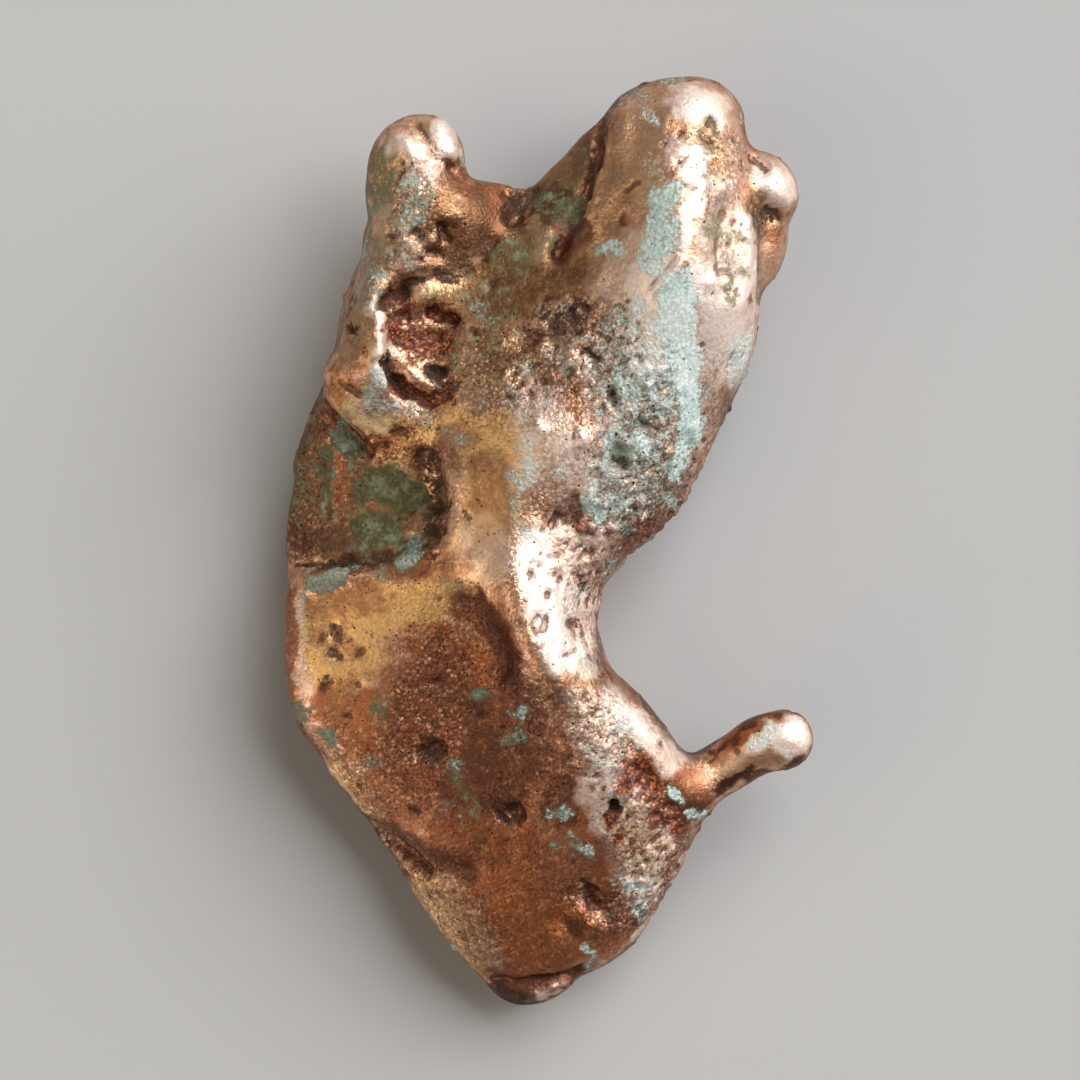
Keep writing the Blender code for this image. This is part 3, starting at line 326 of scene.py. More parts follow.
PAINT["shade"] = [
    (0.6, 1.2, [30, 310, 28, 276], [14, 28, 26, 18], [66, 8, 90, 18]), (0.55, 1.8, [-54, 264, -36, 248]),
    (1.3, 1.7, [6, 264, 15, 244]), (0.5, 1.8, [-34, 250, -16, 226]), (0.6, 1.5, [-76, 236, -66, 216]),
    (0.45, 1.4, [-80, 226, -64, 226], [6, -216, 16, -236], [42, -278, 46, -296]),
    (0.52, 2.4, [-50, 224, -38, 184]), (0.75, 0.8, [-179, 140, -185, 110]),
    (0.85, 0.4, [-172, 109, -164, 99, -154, 87, -140, 73]), (0.42, 1.3, [-76, 84, -72, 64]),
    (0.5, 1.6, [76, 84, 66, 60]), (0.55, 1, [-94, 58, -94, 4], [-186, -8, -140, -7]),
    (0.45, 1.6, [106, 52, 124, 82]), (0.45, 2, [46, 48, 74, 66]),
    (0.9, 0.9, [14, 24, 28, 16], [-148, -10, -120, -11]), (0.65, 1.6, [-198, 6, -189, 84]),
    (0.9, 1.05, [-58, -45, -49, -53, -41, -66, -33, -84, -30, -106]), (0.55, 1.6, [-86, -106, -74, -114]),
    (0.85, 2, [-46, -126, -48, -174, -16, -168, -14, -120]),
    (0.5, 2, [4, -130, 12, -164], [-24, -224, -16, -256]), (0.78, 2.6, [-24, -156, -36, -182, -70, -190]),
    (0.85, 0.35, [126, -165, 140, -155, 150, -144, 162, -134, 178, -129]),
    (0.42, 1.8, [-114, -180, -96, -204]), (0.8, 1.5, [12, -188, 10, -204]),
    (1, 0.6, [134, -194, 146, -186, 160, -179, 174, -176, 186, -175, 198, -170]),
    (0.75, 1.2, [98, -196, 114, -204]), (0.62, 1.7, [-48, -196, -44, -240]),
    (0.46, 2.2, [-46, -220, -42, -256], [-8, -226, -6, -262]),
    (0.6, 1.4, [-128, -230, -90, -248, -58, -252]), (0.4, 1.5, [30, -244, 52, -216]),
    (0.85, 0.8, [-44, -346, -20, -349, 4, -344, 30, -336]), (1.2, 1, [-44, -352, -20, -360, -10, -366]),
]
# Pale: partly wear, partly painted highlight where the lamps reflect, and painted glints on rims.
PAINT["pale"] = [
    (0.95, 1.7, [108, 336, 124, 334]), (0.9, 1, [-85, 324, -76, 300]), (0.25, 0.9, [84, 316, 84, 286]),
    (0.45, 1.4, [142, 314, 140, 270]), (0.8, 1.2, [-112, 309, -104, 300]), (0.7, 1, [96, 302, 106, 286]),
    (0.8, 1, [108, 298, 110, 282]), (0.75, 1.2, [-98, 294, -98, 282]),
    (0.45, 1.2, [-90, 288, -104, 282], [52, -224, 52, -246]), (1, 1.5, [170, 282, 179, 272]),
    (1.1, 0.55, [111, 270, 110, 252, 105, 224]), (0.8, 1.4, [132, 264, 130, 230]),
    (0.95, 0.8, [150, 250, 153, 230, 153, 190], [-149, 109, -129, 92]), (0.3, 1.2, [164, 236, 162, 214]),
    (0.4, 1, [-98, 228, -110, 220]), (0.9, 0.7, [100, 212, 89, 202, 79, 194]),
    (1, 1.6, [126, 204, 128, 150]), (1.3, 1.5, [72, 200, 76, 156]), (1.5, 2.2, [139, 196, 142, 154]),
    (0.6, 1.4, [50, 196, 70, 226], [124, 84, 114, 56], [46, 14, 36, 4], [24, -26, 32, -56, 34, -88]),
    (0.8, 0.65, [-132, 186, -130, 168, -124, 152, -132, 128]), (1, 1.3, [98, 176, 108, 126]),
    (1.05, 1.5, [144, 172, 148, 136]), (1.1, 1.7, [75, 168, 75, 136]), (0.7, 2.2, [138, 166, 126, 136]),
    (0.45, 0.3, [-169, 134, -170, 122, -164, 108, -154, 96, -143, 85]), (0.55, 1, [-136, 130, -128, 110]),
    (0.48, 2.8, [44, 130, 50, 86, 76, 96]), (0.62, 1.1, [-138, 126, -122, 104, -98, 99]),
    (0.5, 1, [30, 120, 30, 80]), (0.5, 1.6, [124, 110, 108, 66]), (0.6, 2.2, [-10, 106, -6, 60, 16, 46]),
    (0.9, 1.6, [16, 76, 22, 46]), (0.5, 2.2, [20, 54, 60, 44]), (0.6, 2, [-54, 4, -40, -16]),
    (1, 1.55, [-8, -2, -4, -46, 6, -76, 14, -88]), (0.75, 1.6, [24, -6, 14, 20, 36, 2]),
    (0.75, 1.4, [16, -16, 24, -72]), (0.9, 0.9, [32, -48, 33, -78]), (0.5, 0.6, [-192, -50, -191, -116]),
    (0.85, 1.3, [44, -120, 66, -138, 88, -158, 96, -166]), (0.58, 2, [26, -128, 42, -162, 56, -196]),
    (1, 1.4, [182, -146, 192, -152]), (0.8, 0.75, [154, -159, 169, -149]),
    (0.95, 0.26, [-180, -167, -164, -186, -144, -209]), (0.42, 0.8, [126, -176, 146, -166]),
    (1.1, 1.6, [40, -186, 46, -208]), (0.82, 1.8, [64, -212, 78, -244, 70, -266]),
    (1.1, 0.9, [88, -228, 84, -250]), (0.9, 0.3, [107, -244, 89, -282, 68, -312]),
    (0.3, 1, [30, -264, 34, -284]), (0.7, 0.8, [-110, -270, -68, -328]),
    (0.55, 1.9, [-88, -274, -52, -318]), (0.3, 0.8, [10, -302, 16, -312]),
    (0.9, 0.5, [-14, -355, 4, -351, 14, -346]),
]
PAINT["coral"] = [
    (0.11, 1.9, [128, 300, 134, 260, 130, 204]), (0.22, 1.1, [96, 300, 106, 280]),
    (0.4, 1.6, [-104, 276, -108, 226]), (0.8, 1.4, [4, 168, 30, 174]),
    (1, 3, [50, 150, 66, 116, 76, 70, 60, 34]), (0.5, 1.8, [10, 140, -16, 126]),
    (0.6, 1.6, [90, 30, 114, 84]), (0.6, 1.4, [22, 18, 34, -40]), (0.22, 1.2, [-6, 6, 2, -40, 16, -86]),
    (0.45, 1.6, [32, -130, 46, -170]), (0.6, 1.8, [70, -206, 84, -240, 60, -280]),
]
PAINT["grain"] = [
    (0.55, 2, [136, 298, 130, 256]), (0.7, 2, [-104, 276, -84, 240]), (0.8, 1.6, [-98, 156, -84, 176]),
    (0.6, 4, [20, 140, -34, 130], [-26, -176, 16, -146]), (0.5, 2.2, [136, 130, 132, 110]),
    (0.7, 5, [66, 120, 54, 54, 74, 34]), (0.75, 1.4, [-134, 116, -98, 98]), (0.7, 1.8, [126, 106, 102, 40]),
    (0.6, 1.2, [-126, 72, -100, 74]), (0.7, 1.4, [-158, 60, -152, 14]), (0.5, 1, [12, 0, 18, -50]),
    (0.8, 2.2, [-196, 0, -186, 90]), (0.6, 0.9, [-24, -6, -20, -48, -8, -80]), (0.6, 3, [26, -6, 14, 30]),
    (0.7, 1.6, [26, -10, 32, -66], [-60, -50, -34, -96]), (0.95, 3.8, [-80, -106, -104, -166]),
    (0.85, 2.4, [34, -134, 50, -174]), (0.45, 2.4, [44, -150, 30, -130]),
    (0.28, 3.6, [-60, -196, -20, -260, -20, -310]), (0.6, 1.8, [-128, -206, -156, -160]),
    (1, 3, [68, -210, 86, -240, 68, -280]), (0.75, 2.6, [-94, -264, -58, -310]),
    (0.75, 2, [24, -276, 44, -294]),
]

# ---- scattered small forms: how many, radii, height, mask it grows in, share off the mask
SCATTER = [
    (900, (0.3, 0.75), 0.2, "coral", 0.0),
    (620, (0.25, 0.5), -0.34, "coral", 0.0),
    (420, (0.35, 0.8), 0.16, "grain", 0.1),
    (260, (0.35, 0.7), -0.2, "grain", 0.15),
    (420, (0.3, 0.6), -0.26, "cuprite", 0.0),
    (300, (0.3, 0.5), 0.2, "cuprite", 0.0),
]
SCATTER_SEED = 7
SCATTER_LEAST = 0.5  # the flattest one's share of the height; the steepest one's is one more

# ---- the sides and the underside
SIDE_TOP, SIDE_FADE = 0.72, 0.55  # they start where the skin leans this far, and are full after the fade
# How brown the sides are painted: painted shade, a dark reflection on faces that lean over.
SIDE_SHADE_BROWN = 0.8
SPOT_GAIN = 3
# Spots on them: mask, size, how rare, most strength, seed.
SIDE_SPOTS = [
    ("shade", 5.0, 0.3, 0.8, 41), ("rust", 3.4, 0.6, 0.8, 52), ("verdigris", 2.6, 1.0, 0.8, 63),
    ("olive", 4.2, 0.9, 0.8, 74), ("pale", 6.0, 0.9, 0.6, 85), ("grain", 5.0, 0.0, 0.8, 96),
    ("cuprite", 2.2, 1.1, 0.8, 29), ("gold", 5.5, 0.7, 0.7, 18),
]

# ---- colours of the metal and its crusts
COPPER, COPPER_DEEP = (0.82, 0.5, 0.33, 1), (0.62, 0.31, 0.17, 1)
NUGGET = (0.84, 0.52, 0.3, 1)
# Pale and straw are what the pale mask paints: wear and painted highlight; straw on gold.
PALE, STRAW = (0.91, 0.75, 0.65, 1), (0.88, 0.62, 0.37, 1)
GOLD, TAN = (0.76, 0.45, 0.18, 1), (0.64, 0.4, 0.23, 1)
BROWN, BROWN_PALE = (0.26, 0.085, 0.042, 1), (0.41, 0.155, 0.074, 1)
UMBER, UMBER_PALE = (0.195, 0.098, 0.041, 1), (0.34, 0.18, 0.088, 1)
SHADE, RUST = (0.13, 0.052, 0.032, 1), (0.46, 0.155, 0.055, 1)
CUPRITE, CUPRITE_DARK = (0.52, 0.12, 0.022, 1), (0.06, 0.01, 0.006, 1)
OLIVE, OLIVE_PALE = (0.07, 0.056, 0.02, 1), (0.14, 0.145, 0.06, 1)
OLIVE_GREY = (0.2, 0.215, 0.135, 1)
VERDIGRIS, VERDIGRIS_DEEP = (0.49, 0.61, 0.565, 1), (0.13, 0.18, 0.135, 1)
CHALK = (0.67, 0.72, 0.68, 1)
BLACK, SOOT = (0.012, 0.006, 0.003, 1), (0.08, 0.034, 0.015, 1)

# ---- textures of the material: noises are size, detail and roughness
FINE, SMALL, BROAD = (0.3, 3.0, 0.6), (0.95, 4.0, 0.6), (3.6, 3.0, 0.55)
PATCHY, GRAINY = 0.4, 0.6  # mixes of the small and the fine noise
BEND_NOISE, BEND = (0.6, 2.0, 0.5), 0.45  # what bends the cells, and how far
GRAIN_CELL, SPECK_CELL = 0.31, 0.19
RIM = (0.35, 0.62)  # from the middle of a grain to its rim
# Covers: name, mask, how ragged, the noise that tears it, and where it starts and is full.
COVERS = [
    ("pale", "pale", 1.4, "patchy", 0.1, 1.1),
    ("gold", "gold", 1.2, "small", 0.2, 0.9),
    ("brown", "brown", 1.5, "patchy", 0.2, 0.9),
    ("umber", "umber", 1.2, "patchy", 0.2, 0.9),
    ("rust", "rust", 1.8, "patchy", 0.3, 0.9),
    ("shade", "shade", 2.2, "patchy", 0.25, 1.0),
    ("cuprite", "cuprite", 2.6, "patchy", 0.4, 0.75),
    ("olive", "olive", 2.0, "patchy", 0.36, 0.85),
    ("film", "verdigris", 2.2, "patchy", 0.2, 0.8),
    ("crust", "verdigris", 2.6, "grainy", 0.44, 0.98),
    ("dark", "dark", 3.2, "grainy", 0.5, 1.0),
]
# The pale mask, partly a painted highlight, also smooths gaps and facets.
PALE_SMOOTHS = -0.6  # what polish takes off gaps and facets

# ---- marks: painted shade in the gaps between grains, pocks and crackle
GAP_GRAIN, GAP_LEAST = 0.8, 0.05
POCK_GOLD, POCK_METAL, POCK_GRAIN = 0.03, 0.006, 0.055  # the share of specks that are pocks
POCK_RAGGED, POCK_EDGE = 0.5, (0.75, 0.5)
THREAD, THREAD_EDGE, THREAD_PATCH = (1.1, 3.0, 0.6), (0.03, 0.006), (0.4, 0.6)
GAP_SHADE, CRACKLE_SHADE, CAVITY_SHADE = 0.9, 0.4, 0.75
# The depth range over which hollows take painted shade.
CAVITY = (0.05, 0.5)

# ---- how the colours vary: the range of a noise, or the strength of a coat
DEEP, UNEVEN = (0.35, 0.65), (0.42, 0.62)
# How strongly the pale mask's wear and painted highlight cover metal and brown.
PALE_COAT, PALE_ON_BROWN = 0.95, 0.6
# Grains and specks of another colour: channel, range, share in grain, share elsewhere, colour.
SPECKLES = [
    ("pick_blue", (0.5, 0.9), 0.55, 0.15, BROWN),
    ("pick_green", (0.7, 0.95), 0.45, 0.1, NUGGET),
    ("chance_green", (0.8, 0.95), 0.5, 0.1, SHADE),
]
CORAL_PALE, CORAL_COAT = (0.45, 0.75), 0.7
RUBY, RUBY_RIM = (0.44, 0.6), 0.8
OLIVE_SPREAD, OLIVE_DUST, DUST_COAT = (0.42, 0.6), (0.56, 0.66), 0.8
FILM_COAT = 0.55
THICK_NOISE, THICK = 1.2, (1.0, 1.55)
CHALK_SPREAD, CHALK_COAT = (0.52, 0.66), 0.6
CRUST_RIM, CRUST_OLIVE = 0.3, 0.75
SOOT_SPREAD = (0.4, 0.66)

# ---- gloss and relief
METAL_ROUGHNESS, UNEVEN_ROUGHNESS = 0.38, 0.25
METAL_ROUGHER = [("grain", 0.44), ("brown", 0.47), ("coral", 0.56)]
CRUST_ROUGHER = [("cuprite", 0.52), ("olive", 0.6), ("film", 0.55), ("crust", 0.8), ("dark", 0.75)]
METALLIC, FILM_METALLIC = 0.95, 0.6
METAL_DULLER = [("gold", 0.75), ("pale", 0.5), ("cuprite", 0.05), ("olive", 0.15)]
CRUST_DULLER = [("crust", 0.0), ("dark", 0.0)]
SPECULAR = 0.35
TILT_METAL, TILT_GRAIN = 0.14, 0.45  # how far the facets lean
COBBLE_METAL, COBBLE_GRAIN = -0.25, -0.65
FINE_METAL, FINE_DARK, FINE_GOLD = 0.6, 1.2, 0.3
CRUST_HEIGHT, POCK_HEIGHT = 0.4, -0.6
BUMP_STRENGTH, BUMP_DISTANCE = 0.8, 0.00012  # the distance in metres


def link(thing):
    bpy.context.scene.collection.objects.link(thing)
    return thing


# ---- mesh arithmetic
def vectors(items, field):
    flat = np.empty(len(items) * 3, np.float32)
    items.foreach_get(field, flat)
    return flat.reshape(-1, 3).astype(float)


def points_of(mesh):
    return vectors(mesh.vertices, "co")


def normals_of(mesh):
    return vectors(mesh.vertex_normals, "vector")


def set_points(mesh, points):
    mesh.vertices.foreach_set("co", points.astype(np.float32).ravel())
    mesh.update()


class Spread:
    """Averages points over each vertex's neighbours."""

    def __init__(self, mesh):
        flat = np.empty(len(mesh.edges) * 2, np.int32)
        mesh.edges.foreach_get("vertices", flat)
        edges = flat.reshape(-1, 2)
        self.ends = np.concatenate([edges[:, 0], edges[:, 1]])
        self.others = np.concatenate([edges[:, 1], edges[:, 0]])
        self.size = len(mesh.vertices)
        self.count = np.maximum(np.bincount(self.ends, minlength=self.size), 1)

    def mean(self, points):
        sums = [np.bincount(self.ends, column[self.others], self.size) for column in points.T]
        return np.stack(sums, 1) / self.count[:, None]

    def blurred(self, points, rounds):
        for _ in range(rounds):
            points = 0.5 * (points + self.mean(points))
        return points


def fine_skin():
    """The solid's surface as an even mesh in millimetres."""
    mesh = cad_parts[NODE].data.copy()
    mesh.transform(Matrix.Scale(1 / MM, 4))
    thing = link(bpy.data.objects.new("remesh", mesh))
    remesh = thing.modifiers.new("skin", "REMESH")
    remesh.mode, remesh.voxel_size = "VOXEL", SKIN_VOXEL
    graph = bpy.context.evaluated_depsgraph_get()
    skin = bpy.data.meshes.new_from_object(thing.evaluated_get(graph), depsgraph=graph)
    bpy.data.objects.remove(thing)
    skin.name = PIECE
    skin.materials.clear()
    return skin


def relax(skin, spread):
    """Smooths the solid's facets away and keeps its volume."""
    points = points_of(skin)
    for _ in range(RELAX_ROUNDS):
        for step in (RELAX_IN, RELAX_OUT):
            points = points + step * (spread.mean(points) - points)
    set_points(skin, points)


def turbulence(points, size, seed):
    """Smooth noise from -1 to 1 at every point."""
    away = Vector([seed * step for step in NOISE_STEPS])
    return np.array([noise.noise(Vector(point) / size + away) for point in points])


def warped(points, steps, seed):
    """The points as seen from above, moved about by noise."""
    moved = points.copy()
    for size, reach in steps:
        for axis in range(3):
            moved[:, axis] += reach * turbulence(points, size, seed + 3 * axis + size)
    return moved[:, :2]


def facing_up(normals, shares):
    on_wall, growth = shares
    return np.clip(on_wall + growth * normals[:, 2], 0, 1)


def drawn(strokes):
    """Every line of the strokes, with its height or strength and its reach."""
    for amount, reach, *lines in strokes:
        for line in lines:
            yield amount, reach, np.reshape(line, (-1, 2)) / TENTHS


def beside(line, places, reach, end=1.0):
    """The places near a line of straight runs, and how far from it they are, in reaches."""
    low, high = line.min(0) - reach * end, line.max(0) + reach * end
    here = np.flatnonzero(((places > low) & (places < high)).all(1))
    start, run = line[:-1], np.diff(line, axis=0)
    away = places[here][:, None] - start
    along = np.clip((away * run).sum(2) / (run ** 2).sum(1), 0, 1)
    foot = start + along[..., None] * run
    return here, np.sqrt(((places[here][:, None] - foot) ** 2).sum(2)).min(1) / reach


def cut(skin, strokes):
    """Pushes the skin that faces up in or out along each stroke."""
    points, normals = points_of(skin), normals_of(skin)
    places = warped(points, CUT_WARP, CUT_SEED)
    up = facing_up(normals, CUT_UP)
    push = np.zeros(len(points))
    for height, reach, line in drawn(strokes):
        here, gap = beside(line, places, reach)
        push[here] += height * np.clip(1 - gap ** 2, 0, 1) ** CUT_POWER * up[here]
    set_points(skin, points + normals * push[:, None])


def scatter(skin, masks):
    """Small beads and pits, most of them where a mask says."""
    points, normals = points_of(skin), normals_of(skin)
    tree = kdtree.KDTree(len(points))
    for index, point in enumerate(points):
        tree.insert(point, index)
    tree.balance()
    draw = np.random.default_rng(SCATTER_SEED)
    push = np.zeros(len(points))
    for count, (least, most), height, name, elsewhere in SCATTER:
        chance = masks[name] + elsewhere * np.clip(1 - 2 * masks["pale"], 0, 1)
        for index in draw.choice(len(points), count, False, chance / chance.sum()):
            radius = least + (most - least) * draw.random() ** 2
            size = height * (SCATTER_LEAST + draw.random()) * radius / most
            for _, other, gap in tree.find_range(points[index], radius):
                push[other] += size * (1 - (gap / radius) ** 2) ** 2
    set_points(skin, points + normals * push[:, None])


def painted(points, normals):
    """Every mask of PAINT as values from 0 up, on the skin that faces up."""
    places = warped(points, PAINT_WARP, PAINT_SEED)
    up = facing_up(normals, PAINT_UP)
    masks = {}
    for name, strokes in PAINT.items():
        values = np.zeros(len(points))
        for strength, reach, line in drawn(strokes):
            here, gap = beside(line, places, reach, PAINT_END)
            share = strength * np.clip((PAINT_END - gap) / PAINT_FADE, 0, 1)
            values[here] = np.maximum(values[here], share)
        masks[name] = values * up
    return masks


def paint_side_shade(points, normals, masks):
    """Sides and underside painted brown, a painted dark reflection, with darker, rusty and green spots."""
    side = np.clip((SIDE_TOP - normals[:, 2]) / SIDE_FADE, 0, 1)
    # Painted shade: brown where the skin leans over, full where it faces sideways and down.
    masks["brown"] = np.maximum(masks["brown"], SIDE_SHADE_BROWN * side)
    for name, size, rare, most, seed in SIDE_SPOTS:
        spots = np.clip(SPOT_GAIN * turbulence(points, size, seed) - rare, 0, most)
        masks[name] = np.maximum(masks[name], side * spots)


def hollows(skin, spread):
    """How deep each vertex lies below the skin around it: 1 is a full cavity, below 0 a ridge."""
    points, normals = points_of(skin), normals_of(skin)
    sunk = ((spread.blurred(points, CAVITY_ROUNDS) - points) * normals).sum(1)
    return np.clip(sunk / CAVITY_DEPTH, -1, 1)


def store(skin, masks):
    for name, values in masks.items():
        attribute = skin.attributes.new(name, "FLOAT", "POINT")
        attribute.data.foreach_set("value", values.astype(np.float32))


def keep_above_floor(skin):
    points = points_of(skin)
    points[:, 2] = np.maximum(points[:, 2], 0)
    set_points(skin, points)


def unwrap(thing):
    """A simple UV map named OFBake: each face is laid out by the way it faces."""
    bpy.context.view_layer.objects.active = thing
    thing.select_set(True)
    thing.data.uv_layers.new(name="OFBake")
    bpy.ops.object.mode_set(mode="EDIT")
    bpy.ops.mesh.select_all(action="SELECT")
    bpy.ops.uv.smart_project(angle_limit=UNWRAP_ANGLE, island_margin=UNWRAP_GAP)
    bpy.ops.object.mode_set(mode="OBJECT")
    thing.select_set(False)


# ---- the material: n adds its nodes, t holds its textures and c its covers
class Nodes:
    """Adds shader nodes and joins them: an input is a socket, a number or a colour."""

    def __init__(self, tree):
        self.tree = tree

    def add(self, kind, inputs=(), **settings):
        node = self.tree.nodes.new("ShaderNode" + kind)
        for name, value in settings.items():
            setattr(node, name, value)
        for name, value in dict(inputs).items():
            if isinstance(value, bpy.types.NodeSocket):
                self.tree.links.new(value, node.inputs[name])
            else:
                node.inputs[name].default_value = value
        return node.outputs

    def mask(self, name):
        return self.add("Attribute", attribute_name=name)["Fac"]

    def math(self, operation, *values):
        return self.add("Math", enumerate(values), operation=operation)[0]

    def times(self, first, second):
        return self.math("MULTIPLY", first, second)

    def times_plus(self, first, second, third):
        return self.math("MULTIPLY_ADD", first, second, third)

    def vector(self, operation, *values):
        return self.add("VectorMath", enumerate(values), operation=operation)[0]

    def noise(self, where, size, detail, roughness, output="Fac"):
        inputs = {"Vector": where, "Scale": 1 / size, "Detail": detail, "Roughness": roughness}
        return self.add("TexNoise", inputs)[output]

    def cells(self, where, size):
        """Cells: how far from a cell's middle, a colour for each, and its three numbers."""
        cells = self.add("TexVoronoi", {"Vector": where, "Scale": 1 / size})
        return cells["Distance"], cells["Color"], self.add("SeparateColor", {"Color": cells["Color"]})

    def ramp(self, value, low, high, to_low=0.0, to_high=1.0):
        inputs = {"Value": value, "From Min": low, "From Max": high, "To Min": to_low, "To Max": to_high}
        return self.add("MapRange", inputs, interpolation_type="SMOOTHSTEP")["Result"]

    def mix(self, share, first, second):
        """A mix of two colours."""
        return self.add("Mix", {0: share, 6: first, 7: second}, data_type="RGBA")[2]

    def blend(self, share, first, second):
        """A mix of two numbers."""
        return self.add("Mix", {0: share, 2: first, 3: second}, data_type="FLOAT")[0]

    def layered(self, value, covers, layers):
        """A number that becomes another one under each cover."""
        for name, under in layers:
            value = self.blend(getattr(covers, name), value, under)
        return value


def textures(n):
    """The noises and cells, in millimetres on the nugget."""
    t = SimpleNamespace()
    where = n.add("Mapping", {"Vector": n.add("TexCoord")["Object"], "Scale": (1 / MM,) * 3})[0]
    t.fine, t.small, t.broad = [n.noise(where, *kind) for kind in (FINE, SMALL, BROAD)]
    t.patchy = n.blend(PATCHY, t.small, t.fine)
    t.grainy = n.blend(GRAINY, t.small, t.fine)
    wobble = n.noise(where, *BEND_NOISE, "Color")
    t.bent = n.vector("MULTIPLY_ADD", wobble, (BEND,) * 3, where)
    t.grain_middle, _, pick = n.cells(t.bent, GRAIN_CELL)
    t.speck_middle, t.speck_colour, chance = n.cells(t.bent, SPECK_CELL)
    t.pick_red, t.pick_green, t.pick_blue = pick
    t.chance_red, t.chance_green, _ = chance
    t.rim = n.ramp(t.grain_middle, *RIM)
    return t


def covers(n, t):
    """How much of each coat lies at a place. A mask's edge is torn by a noise."""
    c = SimpleNamespace()
    for name, mask, ragged, source, low, high in COVERS:
        uneven = n.math("SUBTRACT", getattr(t, source), 0.5)
        setattr(c, name, n.ramp(n.times_plus(uneven, ragged, n.mask(mask)), low, high))
    c.coral = n.mask("coral")
    c.grain = n.math("MAXIMUM", n.math("MAXIMUM", n.mask("grain"), c.coral), c.cuprite)
    c.crisp = n.times_plus(c.pale, PALE_SMOOTHS, 1.0)
    return c


def marks(n, t, c):
    """Painted shade in the gaps between the grains, pocks, and the crackle in the gold tarnish."""
    # Painted shade in the gaps between grains, mostly in the grain mask, less under the pale mask.
    c.gap = n.times(n.times(t.rim, c.crisp), n.times_plus(c.grain, GAP_GRAIN, GAP_LEAST))
    share = n.times_plus(c.gold, POCK_GOLD, n.blend(c.grain, POCK_METAL, POCK_GRAIN))
    hole = n.ramp(n.times_plus(t.fine, POCK_RAGGED, t.speck_middle), *POCK_EDGE)
    c.pock = n.times(n.math("LESS_THAN", t.chance_red, share), hole)
    thread = n.math("ABSOLUTE", n.math("SUBTRACT", n.noise(t.bent, *THREAD), 0.5))
    patch = n.times(c.gold, n.ramp(t.broad, *THREAD_PATCH))
    c.crackle = n.times(n.ramp(thread, *THREAD_EDGE), patch)


def tarnished(n, t, c):
    """Bright copper under gold, brown and rusty tarnish; paler on top: wear and a painted highlight."""
    metal = n.mix(n.ramp(t.small, *DEEP), COPPER, COPPER_DEEP)
    metal = n.mix(c.umber, metal, TAN)
    metal = n.mix(c.gold, metal, GOLD)
    uneven = n.ramp(t.patchy, *UNEVEN)
    tarnish = n.mix(c.umber, n.mix(uneven, BROWN, BROWN_PALE), n.mix(uneven, UMBER, UMBER_PALE))
    metal = n.mix(c.brown, metal, tarnish)
    metal = n.mix(c.rust, metal, RUST)
    # Paler on top: wear, and a painted highlight where the lamps reflect.
    pale_wear_and_highlight = n.times(c.pale, n.blend(c.brown, PALE_COAT, PALE_ON_BROWN))
    return n.mix(pale_wear_and_highlight, metal, n.mix(c.gold, PALE, STRAW))


def speckled(n, t, c, metal):
    """Grains and specks of other colours, dark crackle, and painted shade: its mask, grain gaps, hollows.
    """
    for channel, (low, high), in_grain, elsewhere, colour in SPECKLES:
        few = n.ramp(getattr(t, channel), low, high)
        metal = n.mix(n.times(few, n.times_plus(c.grain, in_grain, elsewhere)), metal, colour)
    metal = n.mix(n.times(n.ramp(t.pick_red, *CORAL_PALE), n.times(c.coral, CORAL_COAT)), metal, PALE)
    # Painted shade in hollows: darker the deeper the skin lies below its surroundings.
    hollow_shade = n.ramp(n.mask("cavity"), *CAVITY)
    metal = n.mix(c.shade, metal, SHADE)
    for dark, share in ((c.gap, GAP_SHADE), (c.crackle, CRACKLE_SHADE), (hollow_shade, CAVITY_SHADE)):
        metal = n.mix(n.times(dark, share), metal, SHADE)
    return metal


def red_crust(n, t):
    ruby = n.mix(n.ramp(t.fine, *RUBY), CUPRITE_DARK, n.mix(t.pick_red, CUPRITE, RUST))
    return n.mix(n.times(t.rim, RUBY_RIM), ruby, CUPRITE_DARK)


def olive_crust(n, t):
    green = n.mix(n.ramp(t.patchy, *OLIVE_SPREAD), OLIVE, OLIVE_PALE)
    return n.mix(n.times(n.ramp(t.small, *OLIVE_DUST), DUST_COAT), green, OLIVE_GREY)


def blue_green_crust(n, t, c):
    """Deep where thin; chalky where thick, rubbed and under a painted highlight; olive in olive patches."""
    thick = n.ramp(n.times_plus(t.grainy, THICK_NOISE, n.mask("verdigris")), *THICK)
    crust = n.mix(thick, VERDIGRIS_DEEP, VERDIGRIS)
    chalky = n.math("MAXIMUM", n.times(n.ramp(t.fine, *CHALK_SPREAD), CHALK_COAT), c.pale)
    crust = n.mix(chalky, crust, CHALK)
    crust = n.mix(n.times(t.rim, CRUST_RIM), crust, VERDIGRIS_DEEP)
    return n.mix(n.times(c.olive, CRUST_OLIVE), crust, OLIVE_GREY)


def crusted(n, t, c, metal):
    colour = n.mix(c.cuprite, metal, red_crust(n, t))
    colour = n.mix(c.olive, colour, olive_crust(n, t))
    # The film is paler under the pale mask's painted highlight.
    film = n.mix(c.pale, VERDIGRIS_DEEP, VERDIGRIS)
    colour = n.mix(n.times(c.film, FILM_COAT), colour, film)
    colour = n.mix(c.crust, colour, blue_green_crust(n, t, c))
    colour = n.mix(c.dark, colour, n.mix(n.ramp(t.fine, *SOOT_SPREAD), BLACK, SOOT))
    return n.mix(c.pock, colour, BLACK)


def roughness(n, t, c):
    rough = n.layered(METAL_ROUGHNESS, c, METAL_ROUGHER)
    rough = n.times_plus(n.math("SUBTRACT", t.small, 0.5), UNEVEN_ROUGHNESS, rough)
    return n.layered(rough, c, CRUST_ROUGHER)


def metalness(n, c):
    metal = n.layered(METALLIC, c, METAL_DULLER)
    metal = n.times(metal, n.ramp(c.film, 0.0, 1.0, 1.0, FILM_METALLIC))
    return n.layered(metal, c, CRUST_DULLER)


